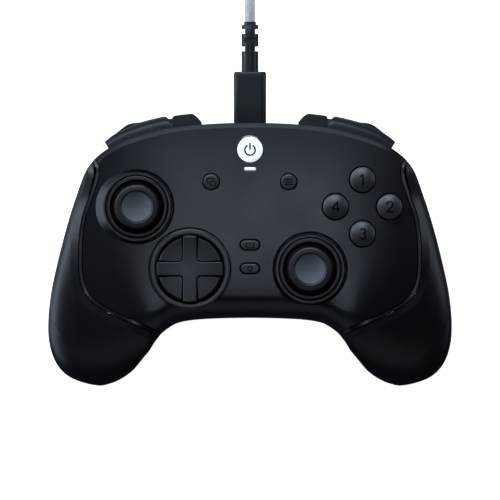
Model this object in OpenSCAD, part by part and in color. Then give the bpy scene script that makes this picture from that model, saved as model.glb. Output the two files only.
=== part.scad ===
// Wired gamepad: two shells, two grips, sticks, direction pad, buttons, triggers and a detachable lead.
// Millimetres. +Z is up from the table, +Y points to the lead, +X is the player's right hand.

/* [Body] */
// Width across the grips
body_w = 160; // [154:1:166]
// Depth of the shells, from the lead's wall to the grip ends
body_d = 104.2; // [100:0.2:108]
// Height of the flat face
face_z = 52; // [51.6:0.1:54]
// Height of the underside at the middle
belly_z = 20; // [18:0.5:22]
// Wall of the shells and grips
wall = 2.2; // [1.8:0.1:2.6]
// Joint line height on the lead's side
part_top_z = 39.2; // [38.8:0.1:39.6]
// Joint line height on the player's side
part_low_z = 33; // [31:0.5:35]
// Height of the grip ends
tip_z = 16; // [14:0.5:18]
// Rounding of the face along the lead's side
edge_r = 3.4; // [3.2:0.1:4.4]
// Rounding of the face along the player's side
lip_r = 9; // [7:0.5:11]

/* [Fits] */
// Gap between the two shells, and between shell and grip
seam_gap = 0.4; // [0.3:0.05:0.6]
// Gap round a control in its hole
hole_gap = 0.35; // [0.3:0.05:0.5]
// Gap under the shell above a button's flange
flange_gap = 0.3; // [0.25:0.05:0.5]
// Radial gap of a running pin
pin_gap = 0.06; // [0.03:0.01:0.1]
// Gap between a screw and its hole
screw_gap = 0.2; // [0.15:0.05:0.3]

/* [Board] */
// Underside of the main board
board_z = 36; // [35.8:0.1:36.2]
// Thickness of the main board
board_t = 1.6; // [1.2:0.2:1.8]
// Half width of the main board
board_half_w = 56; // [52:1:58]
// Height of a button switch with its nub
switch_h = 4.6; // [4:0.2:5.2]

/* [Sticks] */
// Left stick, across the face
left_stick_x = -44.7; // [-45.2:0.1:-44.2]
// Left stick, up the face
left_stick_y = 17.1; // [16.6:0.1:17.6]
// Right stick, across the face
right_stick_x = 23.75; // [23.25:0.05:24.25]
// Right stick, up the face
right_stick_y = -7.5; // [-8:0.1:-7]
// Tilt pivot below the face
stick_pivot_d = 7.4; // [7.3:0.1:7.7]
// Width of the stick housing
stick_box_w = 17; // [16.6:0.1:17.4]
// Radius of the stick cap
stick_cap_r = 8.6; // [8:0.1:9]
// Height of the stick cap's top above the face
stick_rise = 12.6; // [12:0.1:14]
// Outer radius of the dome under the cap
dome_r = 12.6; // [12.4:0.1:12.7]
// Thickness of the dome
dome_t = 1; // [0.8:0.1:1.1]
// Radius of the stick shaft
shaft_r = 1.6; // [1.4:0.1:1.7]
// Radius of the yoke pins
yoke_pin_r = 1; // [0.8:0.1:1.1]
// Inner radius of the stick ring
ring_r = 11.5; // [11.4:0.1:11.7]
// Inner radius of the collar round the stick ring
collar_r = 12.4; // [12.3:0.1:12.6]
// Travel of the stick when it is pressed
stick_press = 0.5; // [0.4:0.1:0.6]

/* [Direction pad] */
// Direction pad, across the face
dpad_x = -23.75; // [-24.25:0.05:-23.25]
// Direction pad, up the face
dpad_y = -7.4; // [-7.9:0.1:-6.9]
// Radius of the pad's disc
dpad_r = 12.1; // [11.5:0.1:12.4]
// Reach of the cross arms
arm_r = 13.1; // [12.6:0.1:13.2]
// Width of a cross arm
arm_w = 5.3; // [5:0.1:6]
// Height of the cross arms above the face
dpad_h = 2.8; // [2:0.1:3.4]
// Radius of the pad's hole
dpad_hole_r = 14.05; // [14:0.05:14.3]
// Depth of the pad's pivot below the face
dpad_pivot_d = 5; // [4.8:0.1:5.4]

/* [Buttons] */
// Middle of the four face buttons, across the face
face_buttons_x = 44.5; // [44:0.1:45]
// Middle of the four face buttons, up the face
face_buttons_y = 17.1; // [16.6:0.1:17.6]
// Distance of a face button from that middle
face_button_out = 10.7; // [10.4:0.1:11.5]
// Radius of a face button
face_button_r = 5; // [4.6:0.1:5.1]
// Height of a face button above the face
face_button_h = 2.6; // [2:0.1:3.2]
// Travel of a face button
face_button_travel = 1.2; // [0.8:0.1:1.4]
// Radius of the home button
home_r = 5.3; // [4.8:0.1:5.6]
// Radius of the view and menu buttons
small_r = 3.2; // [2.8:0.1:3.4]
// Height of the centre buttons above the face
small_h = 0.7; // [0.5:0.1:1]
// Travel of the centre buttons
small_travel = 0.5; // [0.4:0.1:0.6]
// Length of a pill button
pill_l = 7.4; // [6.8:0.1:8]
// Width of a pill button
pill_w = 3.9; // [3.6:0.1:4.2]
// Length of the indicator lens
lens_l = 4.2; // [3.8:0.1:4.6]
// Width of the indicator lens
lens_w = 1.4; // [1.2:0.1:1.6]

/* [Shoulders] */
// How far the bumper stands out past the shell
bumper_out = 5; // [4.6:0.1:5.2]
// How far the bumper reaches into the shell
bumper_in = 5; // [4:0.5:6]
// Height of the bumper
bumper_h = 8.9; // [8.4:0.1:9]
// How far the inner shoulder button stands out
claw_out = 4.6; // [4:0.1:4.8]
// Height of the inner shoulder button
claw_h = 5.6; // [5:0.1:6]
// Width of a trigger
trigger_w = 25; // [24:0.5:26]
// Radius of the trigger axle
axle_r = 1.5; // [1.3:0.1:1.6]
// Thickness of a trigger bracket's ear
ear_t = 2.4; // [2:0.1:2.6]
// Gap between a trigger and its surroundings
trigger_gap = 0.5; // [0.4:0.1:0.6]

/* [Back] */
// Length of a back button
back_l = 15; // [14:0.5:16]
// Width of a back button
back_w = 7; // [6.5:0.1:7.5]
// How far a back button stands below the underside
back_out = 2; // [1.6:0.1:2.4]
// Length of a trigger stop slider
stop_l = 6; // [5.5:0.1:6.5]
// Width of a trigger stop slider
stop_w = 3.6; // [3.2:0.1:4]
// Travel of a trigger stop slider
stop_travel = 4; // [3:0.5:5]
// Radius of a case screw
screw_r = 1.3; // [1.1:0.1:1.4]
// Radius of a case screw's head
screw_head_r = 2.6; // [2.4:0.1:2.8]

/* [Rumble] */
// Radius of a motor
motor_r = 6; // [5.5:0.1:6.2]
// Length of a motor
motor_l = 13; // [12:0.5:13.5]
// Radius of a motor's weight
weight_r = 8; // [7:0.5:8.5]

/* [Sockets] */
// Radius of the headset socket's bore
jack_r = 1.8; // [1.75:0.05:1.9]
// Depth of the headset socket's bore
jack_l = 14; // [13:0.5:15]
// Width of the lead's metal tip
tip_w = 8.3; // [8.2:0.05:8.4]
// Height of the lead's metal tip
tip_h = 2.5; // [2.4:0.05:2.6]
// Length of the lead's metal tip
tip_l = 6.6; // [6:0.1:7]

/* [Lead] */
// Width of the plug housing
plug_w = 12.8; // [12:0.1:13.5]
// Length of the plug housing
plug_l = 20; // [18:0.5:22]
// Thickness of the plug housing
plug_t = 7; // [6.7:0.1:7.4]
// Radius of the strain relief
relief_r = 3.3; // [3:0.1:3.4]
// Length of the strain relief
relief_l = 19.8; // [18:0.1:21]
// Diameter of the cord
cord_d = 4.1; // [3.9:0.1:4.2]
// Width of the far plug's housing
far_plug_w = 15; // [14:0.5:16]
// Length of the far plug's housing
far_plug_l = 28; // [26:0.5:30]
// Thickness of the far plug's housing
far_plug_t = 8.4; // [7.6:0.1:8.4]
// Width of the far plug's metal tip
far_tip_w = 12; // [11.8:0.1:12.2]
// Length of the far plug's metal tip
far_tip_l = 12; // [11:0.5:13]
// Thickness of the far plug's metal tip
far_tip_t = 4.5; // [4.4:0.05:4.6]

/* [Hidden] */
$fn = 48;

shell_colour = [0.085, 0.095, 0.11];
grip_colour = [0.06, 0.068, 0.08];
key_colour = [0.05, 0.055, 0.065];
board_colour = [0.03, 0.16, 0.1];
metal_colour = [0.62, 0.63, 0.65];
light_colour = [0.9, 0.95, 0.97];
cord_colour = [0.27, 0.28, 0.29];

pill = [pill_l, pill_w];
lens = [lens_l, lens_w];
back_pad = [back_l, back_w];
stop_pad = [stop_l, stop_w];
tip = [tip_w, tip_h];
plug = [plug_w, plug_l, plug_t];
far_plug = [far_plug_w, far_plug_l, far_plug_t];
far_tip = [far_tip_w, far_tip_l, far_tip_t];

// Half of the plan, drawn from the middle of the pad to the end of a grip. The outer edge runs along the
// lead's side, round the shoulder and down the grip, and the inner edge along the player's side.
drawn_half_w = 80;
drawn_d = 104.2;
outer_edge = [
    [0, 50.3], [15, 49.9], [30, 48.5], [44, 45.1], [56, 40.2], [64, 32.8], [68.8, 21], [72.6, 9], [76, -4],
    [78.8, -17], [80, -29], [79.3, -38.5], [76.2, -46.2], [70.5, -51.2], [61, -53.9]
];
inner_edge = [
    [0, -26.9], [12, -27.1], [22, -27.7], [28.5, -28.9], [32.5, -31.1], [35, -33.1], [36.6, -35],
    [38.2, -37.2], [39.8, -39.8], [41.6, -42], [43.8, -44.7], [46.8, -48.1], [51, -51.1], [55.5, -53.1],
    [61, -53.9]
];
// The line where a grip meets the front shell, from the shoulder to the player's side.
seam_line = [
    [63, 36.5], [61, 31], [63.4, 21.8], [66.6, 12], [67.8, 0], [67.2, -12], [63.2, -20], [54, -25.8],
    [46.1, -29.2], [38.1, -33], [33.6, -36.4]
];
stations = len(outer_edge) - 1;
grip_start = 4;
rim_h = 1.5;
outer_end = stations - 0.2;
cavity_end = stations - 1.15;
steps_half = 17;
round_steps = 3;
shell_fn = 28;
flat_steps = 3;

board_top = board_z + board_t;
ceiling_z = face_z - wall;
flange_top = ceiling_z - flange_gap;
flange_t = 1.2;
flange_w = 1.1;
stem_r = 1.8;
switch_top = board_top + switch_h;
stem_clear = 0.3;

function blend(a, b, t) = a + (b - a) * t;
function ease(t) = let (c = min(max(t, 0), 1)) c * c * (3 - 2 * c);
function knot(line, i, before, after) = i < 0 ? before : i >= len(line) ? after : line[i];
function curve(line, u, before, after) =
    let (i = min(floor(u), len(line) - 2), t = u - i)
    let (a = knot(line, i - 1, before, after), b = line[i])
    let (c = line[i + 1], d = knot(line, i + 2, before, after))
    0.5 * (2 * b + (c - a) * t + (2 * a - 5 * b + 4 * c - d) * t * t + (3 * b - a - 3 * c + d) * t * t * t);
function sized(p) = [p.x * body_w / 2 / drawn_half_w, p.y * body_d / drawn_d];
function mirrored(p) = [-p.x, p.y];
function outer(u) = sized(curve(outer_edge, u, mirrored(outer_edge[1]), inner_edge[stations - 1]));
function inner(u) = sized(curve(inner_edge, u, mirrored(inner_edge[1]), outer_edge[stations - 1]));
function outward(u) = let (t = outer(u + 0.05) - outer(u - 0.05)) [-t.y, t.x] / norm(t);
function edge_point(u, n) = outer(u) + outward(u) * n;

// Heights along the half: the face, the joint line on both edges, and the underside.
function grip_share(u) = max(0, (u - grip_start) / (stations - grip_start));
function face_at(u) = blend(face_z, tip_z + rim_h, pow(grip_share(u), 3));
function part_outer(u) = blend(part_top_z, tip_z, ease(grip_share(u)));
function part_inner(u) = blend(part_low_z, tip_z, ease(grip_share(u)));
foot_station = 11;
foot_sink = 0.5;
function belly_at(u) =
    blend(belly_z, -foot_sink, ease((u - 5) / (foot_station - 5)))
    + (tip_z - rim_h + foot_sink) * pow(max(0, (u - foot_station) / (stations - foot_station)), 3);
function fullness(u) = ease((u - grip_start) / 5);

// One cut through the upper (side 1) or lower (side -1) half, from the outer edge to the inner edge.
low_edge_r = 8;
low_lip_r = 10;
low_edge_h = 13;
function section(s, side) =
    let (u = abs(s), o = outer(u), i = inner(u), span = norm(i - o), along = (i - o) / span)
    let (crown = side > 0 ? face_at(u) : belly_at(u), gap = side * seam_gap / 2)
    let (rim_o = part_outer(u) + gap, rim_i = part_inner(u) + gap)
    let (r_o = min(blend(side > 0 ? edge_r : low_edge_r, span / 2, fullness(u)), span * 0.48))
    let (r_i = min(blend(side > 0 ? lip_r : low_lip_r, span / 2, fullness(u)), span * 0.48))
    let (h_o = abs(crown - rim_o) - rim_h, h_i = abs(crown - rim_i) - rim_h)
    let (e_o = blend(min(side > 0 ? edge_r * 1.1 : low_edge_h, h_o), h_o, fullness(u)))
    let (e_i = blend(min(lip_r * 1.3, h_i), h_i, fullness(u)))
    let (turns = [for (k = [0:round_steps]) 90 * k / round_steps])
    let (cut = concat(
        [[0, rim_o]],
        [for (a = turns) [r_o * (1 - cos(a)), crown - side * e_o * (1 - sin(a))]],
        [for (k = [1:flat_steps - 1]) [blend(r_o, span - r_i, k / flat_steps), crown]],
        [for (k = [round_steps:-1:0])
            [span - r_i * (1 - cos(turns[k])), crown - side * e_i * (1 - sin(turns[k]))]],
        [[span, rim_i]]
    ))
    [for (c = cut) let (p = o + along * c.x) [s < 0 ? -p.x : p.x, p.y, c.y]];
function skin(reach, side) = [for (k = [-steps_half:steps_half]) section(reach * k / steps_half, side)];

// The same surface moved inwards by the wall.
function unit(v) = v / max(norm(v), 1e-9);
function shrunk(grid, depth, side) =
    let (last = len(grid) - 1, ends = len(grid[0]) - 1)
    [for (i = [0:last]) [for (j = [0:ends])
        let (across = grid[min(i + 1, last)][j] - grid[max(i - 1, 0)][j])
        let (down = j == 0 ? grid[i][1] - grid[i][0] : j == ends ? grid[i][ends] - grid[i][ends - 1]
            : unit(grid[i][j + 1] - grid[i][j]) + unit(grid[i][j] - grid[i][j - 1]))
        grid[i][j] + side * depth * unit(cross(across, down))]];

function flipped(faces, flip) = flip ? [for (f = faces) [f[0], f[2], f[1]]] : faces;
function halves(q) = [[q[0], q[1], q[2]], [q[0], q[2], q[3]]];
function flat(lists) = [for (l = lists) each l];
function grid_faces(n, m, base) =
    flat([for (i = [0:n - 2], j = [0:m - 2])
        let (a = base + i * m + j) halves([a, a + m, a + m + 1, a + 1])]);
function fan(first, m, flip) = flipped([for (j = [1:m - 2]) [first, first + j, first + j + 1]], flip);

// A closed half body, solid, or hollow with the wall's thickness.
module half_solid(side) {
    grid = skin(outer_end, side);
    n = len(grid);
    m = len(grid[0]);
    closing = flat([for (i = [0:n - 2]) halves([(i + 1) * m, i * m, i * m + m - 1, i * m + 2 * m - 1])]);
    faces = concat(grid_faces(n, m, 0), fan(0, m, false), fan((n - 1) * m, m, true), closing);
    polyhedron(flat(grid), flipped(faces, side < 0), convexity = 8);
}

module half_shell(side) {
    out = skin(outer_end, side);
    cavity = shrunk(skin(cavity_end, side), wall, side);
    n = len(out);
    m = len(out[0]);
    b = n * m;
    last = (n - 1) * m;
    rims = flat([for (i = [0:n - 2]) let (a = i * m, z = i * m + m - 1) concat(
        halves([a + m, a, a + b, a + m + b]), halves([z, z + m, z + m + b, z + b]))]);
    ends = concat(halves([0, m - 1, m - 1 + b, b]), halves([last + m - 1, last, last + b, last + m - 1 + b]));
    faces = concat(
        grid_faces(n, m, 0), fan(0, m, false), fan(last, m, true),
        flipped(concat(grid_faces(n, m, b), fan(b, m, false), fan(b + last, m, true)), true),
        rims, ends
    );
    polyhedron(concat(flat(out), flat(cavity)), flipped(faces, side < 0), convexity = 8);
}

// Keeps a sculpted piece together as one smooth-faced body.
module sculpted() {
    $fn = shell_fn;
    resize([0, 0, 0]) children();
}

// Plan of everything between the two grips.
seam_steps = 40;
module seam_plan() {
    ends = len(seam_line) - 1;
    half = [for (k = [0:seam_steps]) let (u = ends * k / seam_steps)
        sized(curve(seam_line, u, seam_line[0], seam_line[ends]))];
    top = [half[0].x + 2, body_d];
    low = [half[seam_steps].x, -body_d];
    right = concat([top], half, [low]);
    left = [for (k = [len(right) - 1:-1:0]) mirrored(right[k])];
    polygon(concat(right, left));
}
module seam_prism(grow) {
    linear_extrude(2 * face_z) offset(delta = grow) seam_plan();
}

// Places: the round holes of the face, the shoulder pieces and the screws.
left_stick = sized([left_stick_x, left_stick_y]);
right_stick = sized([right_stick_x, right_stick_y]);
dpad_at = sized([dpad_x, dpad_y]);
face_buttons_at = [face_buttons_x + outer(6).x - outer_edge[6].x, sized([0, face_buttons_y]).y];
home_in = 10.6;
lens_below_home = 7.6;
profile_in = 19.6;
share_above_profile = 9.3;
home_at = [0, outer(0).y - home_in];
lens_at = home_at - [0, lens_below_home];
view_in = 23.4;
view_at = [sized([-15.3, 0]).x, outer(0).y - view_in];
menu_at = mirrored(view_at);
profile_at = [0, inner(0).y + profile_in];
share_at = profile_at + [0, share_above_profile];
face_button_turns = [90, 0, 270, 180];
function face_button_at(k) =
    let (a = face_button_turns[k]) face_buttons_at + face_button_out * [cos(a), sin(a)];
round_keys = concat(
    [for (k = [0:3]) [face_button_at(k), face_button_r]],
    [[home_at, home_r], [view_at, small_r], [menu_at, small_r]]
);
bumper_from = 2.06;
bumper_to = 4.2;
claw_from = 1.27;
claw_to = 2;
end_clear = 0.035;
bumper_end_clear = 0.09;
claw_in = 4;
bumper_low = part_top_z + 1.1;
claw_low = part_top_z + 1.3;
grip_screw_at = sized([61, -37]);
trigger_station = 3.02;
screw_from_trigger = [22.26, 7.52];
top_screw_at = outer(trigger_station) - screw_from_trigger;
grip_join_z = 20;
top_join_z = 33;
head_depth = 6;
boss_wall = 1.8;
back_apart = 0.8;
back_step = [0, (back_pad.x + 2 * flange_w + back_apart) / 2];
back_in = 28.1;
back_mid = [sized([31, 0]).x, inner(3).y + back_in];
back_high_at = back_mid + back_step;
back_low_at = back_mid - back_step;
stop_at = sized([17, 27]);
motor_plan = sized([52, -25]);
motor_at = [motor_plan.x, motor_plan.y, 23];

module stadium(length, width) {
    square([length - width, width], center = true);
    for (x = [-1, 1]) translate([x * (length - width) / 2, 0]) circle(d = width);
}

// A piece that follows the shell's outer edge from one station to another.
module edge_piece(from, to, profile, ends, steps) {
    m = len(profile);
    rings = [for (k = [0:steps]) let (t = k / steps, u = blend(from, to, t), f = ends(t))
        [for (p = profile) let (q = edge_point(u, p.x > 0 ? p.x * f : p.x)) [q.x, q.y, p.y]]];
    sides = flat([for (k = [0:steps - 1], j = [0:m - 1]) let (a = k * m + j, b = k * m + (j + 1) % m)
        halves([a, a + m, b + m, b])]);
    faces = concat(sides, fan(0, m, false), fan(steps * m, m, true));
    polyhedron(flat(rings), faces, convexity = 4);
}
shoulder_steps = 14;
bumper_ends = function(t) 1 - 0.42 * pow(max(0, (t - 0.35) / 0.65), 2) - 0.55 * pow(max(0, 1 - t / 0.1), 2);
claw_ends = function(t) 1 - 0.75 * pow(abs(2 * t - 1), 4);
function bumper_profile(grow) =
    let (low = bumper_low - grow, high = bumper_low + bumper_h + grow, out = bumper_out + grow)
    [[-bumper_in - grow, low], [out - 0.5, low], [out, low + 2], [out, high - 3.4], [out - 0.7, high - 1.2],
     [out - 1.8, high - 0.4], [0, high], [-bumper_in - grow, high]];
function claw_profile(grow) =
    let (low = claw_low - grow, high = claw_low + claw_h + grow, out = claw_out + grow)
    [[-claw_in - grow, low], [out - 0.5, low], [out, low + 0.6], [out, high - 0.9], [out - 0.8, high],
     [-claw_in - grow, high]];
module bumper_shape() {
    edge_piece(bumper_from, bumper_to, bumper_profile(0), bumper_ends, shoulder_steps);
}
module claw_shape() {
    edge_piece(claw_from, claw_to, claw_profile(0), claw_ends, shoulder_steps);
}
// Room for a bumper or inner shoulder button, open inwards as far as it travels.
travel_room = 2;
module shoulder_room(from, to, profile, far_clear) {
    low = min([for (p = profile) p.y]);
    high = max([for (p = profile) p.y]);
    back = min([for (p = profile) p.x]) - travel_room;
    box = [[back, low], [2 * bumper_out, low], [2 * bumper_out, high], [back, high]];
    edge_piece(from - end_clear, to + far_clear, box, function(t) 1, shoulder_steps);
}

// Trigger: its own frame lies on the outer edge, v outwards and z up, with the axle at trigger_axle.
trigger_yaw = atan2(outward(trigger_station).x, outward(trigger_station).y);
trigger_axle = [-9, 32.7];
trigger_outline = [
    [-9, 36], [-5, 37.6], [-1, 38.2], [3.2, 37.8], [5.2, 35], [6, 30], [5.6, 22], [4.3, 13], [3.5, 7],
    [3.9, 3], [5.2, 0.3], [4, 0.2], [2.2, 2.2], [1, 6], [1.6, 13], [2.6, 21], [2.2, 27], [-3, 29.6],
    [-9, 29.5], [-11.4, 30.6], [-12.2, 32.8], [-11.4, 35]
];
module at_trigger() {
    p = outer(trigger_station);
    translate([p.x, p.y, 0]) rotate(-trigger_yaw) children();
}
module along_axle(length, r) {
    translate([0, trigger_axle.x, trigger_axle.y]) rotate([0, 90, 0])
        cylinder(h = length, r = r, center = true);
}
// Cuts across the trigger: place along its width, size about the axle, and bulge of its finger face.
trigger_cuts = [
    [-0.5, 0.92, 0.52], [-0.47, 0.98, 0.58], [-0.3, 1, 0.72], [-0.1, 1, 0.84], [0, 1, 0.97], [0.08, 1, 1],
    [0.16, 1, 0.94], [0.26, 1, 0.76], [0.47, 0.98, 0.48], [0.5, 0.92, 0.42]
];
module trigger_body() {
    m = len(trigger_outline);
    hub = trigger_axle;
    rings = [for (c = trigger_cuts) [for (p = trigger_outline)
        let (q = p.x > 0 ? [p.x * c.z, p.y] : p, r = hub + (q - hub) * c.y) [c.x * trigger_w, r.x, r.y]]];
    n = len(rings);
    sides = flat([for (k = [0:n - 2], j = [0:m - 1]) let (a = k * m + j, b = k * m + (j + 1) % m)
        halves([a, b, b + m, a + m])]);
    ends = [[for (j = [m - 1:-1:0]) j], [for (j = [0:m - 1]) (n - 1) * m + j]];
    polyhedron(flat(rings), concat(sides, ends), convexity = 6);
}
trigger_window = [
    [-14.2, 39], [9, 39], [9, -1], [-8, -1], [-8, 16], [-3, 17], [-2, 22.6], [-5.5, 26.6], [-14.2, 28.6]
];
module trigger_room() {
    at_trigger() rotate([90, 0, 90])
        linear_extrude(trigger_w + 2 * trigger_gap, center = true) polygon(trigger_window);
}

module both_sides() {
    children();
    mirror([1, 0, 0]) children();
}
module at(p, z = 0) {
    translate([p.x, p.y, z]) children();
}

port_z = board_top + tip.y / 2 + 0.45;
jack_z = board_top + jack_r + 1;
jack_wall = 0.9;

module front_cuts() {
    for (k = round_keys) at(k[0], 0) cylinder(h = 2 * face_z, r = k[1] + hole_gap);
    for (p = [share_at, profile_at])
        at(p) linear_extrude(2 * face_z) offset(delta = hole_gap) stadium(pill.x, pill.y);
    at(lens_at) linear_extrude(2 * face_z) offset(delta = seam_gap / 2) stadium(lens.x, lens.y);
    for (p = [left_stick, right_stick]) at(p) cylinder(h = 2 * face_z, r = collar_r);
    at(dpad_at) cylinder(h = 2 * face_z, r = dpad_hole_r);
    both_sides() {
        shoulder_room(bumper_from, bumper_to, bumper_profile(hole_gap), bumper_end_clear);
        shoulder_room(claw_from, claw_to, claw_profile(hole_gap), end_clear);
    }
    jack_cut();
    lead_cut();
}
module jack_cut() {
    translate([0, 0, jack_z]) rotate([90, 0, 0]) cylinder(h = body_d, r = jack_r + jack_wall + hole_gap);
}
module lead_cut() {
    translate([0, outer(0).y, port_z]) rotate([90, 0, 0])
        linear_extrude(4 * wall, center = true) offset(delta = hole_gap) stadium(tip.x + 1.6, tip.y + 1.6);
}

// The raised rings round the sticks and the direction pad.
collar_h = 1.5;
collar_top_w = 1.1;
collar_foot_w = 3.2;
module collar(p, r, h) {
    mid = wall / 2;
    at(p, face_z - mid) rotate_extrude()
        polygon([[r - 1, 0], [r + collar_foot_w + 1, 0], [r + collar_top_w, mid + h], [r - 1, mid + h]]);
}
module boss(p, low, high, r) {
    at(p, low) cylinder(h = high - low, r = r);
}
boss_r = screw_r + boss_wall;

module upper_pieces() {
    half_shell(1);
    intersection() {
        half_solid(1);
        both_sides() {
            boss(grip_screw_at, grip_join_z + seam_gap, face_z, boss_r);
            boss(top_screw_at, top_join_z + seam_gap, face_z - wall / 2, boss_r);
        }
    }
}
module upper_screw_holes() {
    both_sides() {
        boss(grip_screw_at, 0, grip_join_z + 9, screw_r + screw_gap);
        boss(top_screw_at, 0, top_join_z + 9, screw_r + screw_gap);
    }
}
module front_shell() {
    color(shell_colour) sculpted() difference() {
        intersection() {
            union() {
                upper_pieces();
                for (p = [left_stick, right_stick]) collar(p, collar_r, collar_h);
                collar(dpad_at, dpad_hole_r, collar_h / 2);
            }
            seam_prism(-seam_gap / 2);
        }
        front_cuts();
        upper_screw_holes();
        both_sides() trigger_room();
    }
}
module grip(side) {
    color(grip_colour) sculpted() difference() {
        intersection() {
            upper_pieces();
            translate([side * body_w / 2, 0, face_z / 2])
                cube([body_w, 2 * body_d, 2 * face_z], center = true);
        }
        seam_prism(seam_gap / 2);
        upper_screw_holes();
    }
}
module left_grip() grip(-1);
module right_grip() grip(1);

cradle_t = 3;
module motor_cradle() {
    difference() {
        translate([motor_at.x + motor_l / 2, motor_at.y, motor_at.z / 2 - 1])
            cube([motor_l - 2 * cradle_t, motor_r * 1.7, motor_at.z], center = true);
        translate(motor_at) rotate([0, 90, 0]) cylinder(h = motor_l, r = motor_r + screw_gap);
    }
}
module rear_cuts() {
    both_sides() {
        for (p = [back_high_at, back_low_at])
            at(p) rotate(90) linear_extrude(belly_z + 4 * wall)
                offset(delta = hole_gap) stadium(back_pad.x, back_pad.y);
        at(stop_at) linear_extrude(belly_z + 4 * wall)
            offset(delta = hole_gap) stadium(stop_pad.x + stop_travel, stop_pad.y);
        boss(grip_screw_at, 0, grip_join_z + 1, screw_r + screw_gap);
        boss(grip_screw_at, -1, head_depth, screw_head_r + screw_gap);
        boss(top_screw_at, 0, top_join_z + 1, screw_r + screw_gap);
        boss(top_screw_at, 0, belly_z + head_depth, screw_head_r + screw_gap);
        trigger_room();
    }
    jack_cut();
    lead_cut();
    translate([0, 0, -face_z]) cube([2 * body_w, 2 * body_d, 2 * face_z], center = true);
}
module rear_shell() {
    head_r = screw_head_r + screw_gap + boss_wall;
    color(shell_colour) sculpted() difference() {
        union() {
            half_shell(-1);
            intersection() {
                half_solid(-1);
                both_sides() {
                    boss(grip_screw_at, -1, grip_join_z, boss_r);
                    boss(grip_screw_at, -1, head_depth + wall, head_r);
                    boss(top_screw_at, 0, top_join_z, boss_r);
                    boss(top_screw_at, 0, belly_z + head_depth + wall, head_r);
                    motor_cradle();
                }
            }
        }
        rear_cuts();
    }
}

board_low_in = 13.9;
board_high_in = 20.3;
board_low_y = inner(0).y + board_low_in;
board_high_y = outer(0).y - board_high_in;
lead_tab = [30, outer(0).y - 2 * wall];
jack_tab = [12, inner(0).y + wall + seam_gap];
module main_board() {
    color(board_colour) difference() {
        translate([0, 0, board_z]) linear_extrude(board_t) {
            translate([-board_half_w, board_low_y]) square([2 * board_half_w, board_high_y - board_low_y]);
            translate([-lead_tab.x / 2, 0]) square([lead_tab.x, lead_tab.y]);
            translate([-jack_tab.x / 2, jack_tab.y]) square([jack_tab.x, -jack_tab.y]);
        }
        both_sides() boss(top_screw_at, board_z - 1, board_top + 1, boss_r + hole_gap);
    }
}

screw_reach = 8;
head_t = 1.8;
module case_screws() {
    color(metal_colour) both_sides() {
        boss(grip_screw_at, head_depth - head_t, grip_join_z + screw_reach, screw_r);
        boss(grip_screw_at, head_depth - head_t, head_depth, screw_head_r);
        boss(top_screw_at, belly_z + head_depth - head_t, top_join_z + screw_reach, screw_r);
        boss(top_screw_at, belly_z + head_depth - head_t, belly_z + head_depth, screw_head_r);
    }
}

socket_wall = 0.35;
socket_gap = 0.1;
socket_mouth = outer(0).y - 0.4;
module lead_socket() {
    inner_size = [tip.x + 2 * socket_gap, tip.y + 2 * socket_gap];
    color(metal_colour) translate([0, socket_mouth, port_z]) rotate([90, 0, 0]) difference() {
        linear_extrude(tip_l + 1) stadium(inner_size.x + 2 * socket_wall, inner_size.y + 2 * socket_wall);
        translate([0, 0, -1]) linear_extrude(tip_l + 1.2) stadium(inner_size.x, inner_size.y);
    }
}
module headset_socket() {
    mouth = inner(0).y + 0.2;
    color(key_colour) difference() {
        union() {
            translate([0, mouth, jack_z]) rotate([-90, 0, 0])
                cylinder(h = jack_l + 1, r = jack_r + jack_wall);
            translate([-3.5, mouth + wall + 0.6, board_top + 0.05])
                cube([7, jack_l - wall - 1, 2 * (jack_r + 1) - 0.2]);
        }
        translate([0, mouth - 1, jack_z]) rotate([-90, 0, 0]) cylinder(h = jack_l + 1, r = jack_r);
    }
}

switch_w = 5;
nub_r = 1.5;
nub_h = 1.2;
switch_at = concat([for (k = round_keys) k[0]], [share_at, profile_at]);
module button_switches() {
    color(metal_colour) for (p = switch_at) at(p, board_top) {
        translate([-switch_w / 2, -switch_w / 2, 0]) cube([switch_w, switch_w, switch_h - nub_h]);
        cylinder(h = switch_h, r = nub_r);
    }
}
module indicator_lens() {
    color(light_colour) at(lens_at) {
        translate([0, 0, ceiling_z - 1]) linear_extrude(wall + 1.05) stadium(lens.x, lens.y);
        translate([0, 0, ceiling_z - 1]) linear_extrude(0.9) stadium(lens.x + 2, lens.y);
    }
}

ring_low = ceiling_z + 0.9;
ring_high = face_z + 0.9;
module stick_rings() {
    color(key_colour) for (p = [left_stick, right_stick]) at(p, ring_low) rotate_extrude()
        polygon([[ring_r, 0], [collar_r - 0.2, 0], [collar_r - 0.2, ring_high - ring_low],
            [ring_r + 0.35, ring_high - ring_low], [ring_r, ring_high - ring_low - 0.35]]);
}

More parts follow.
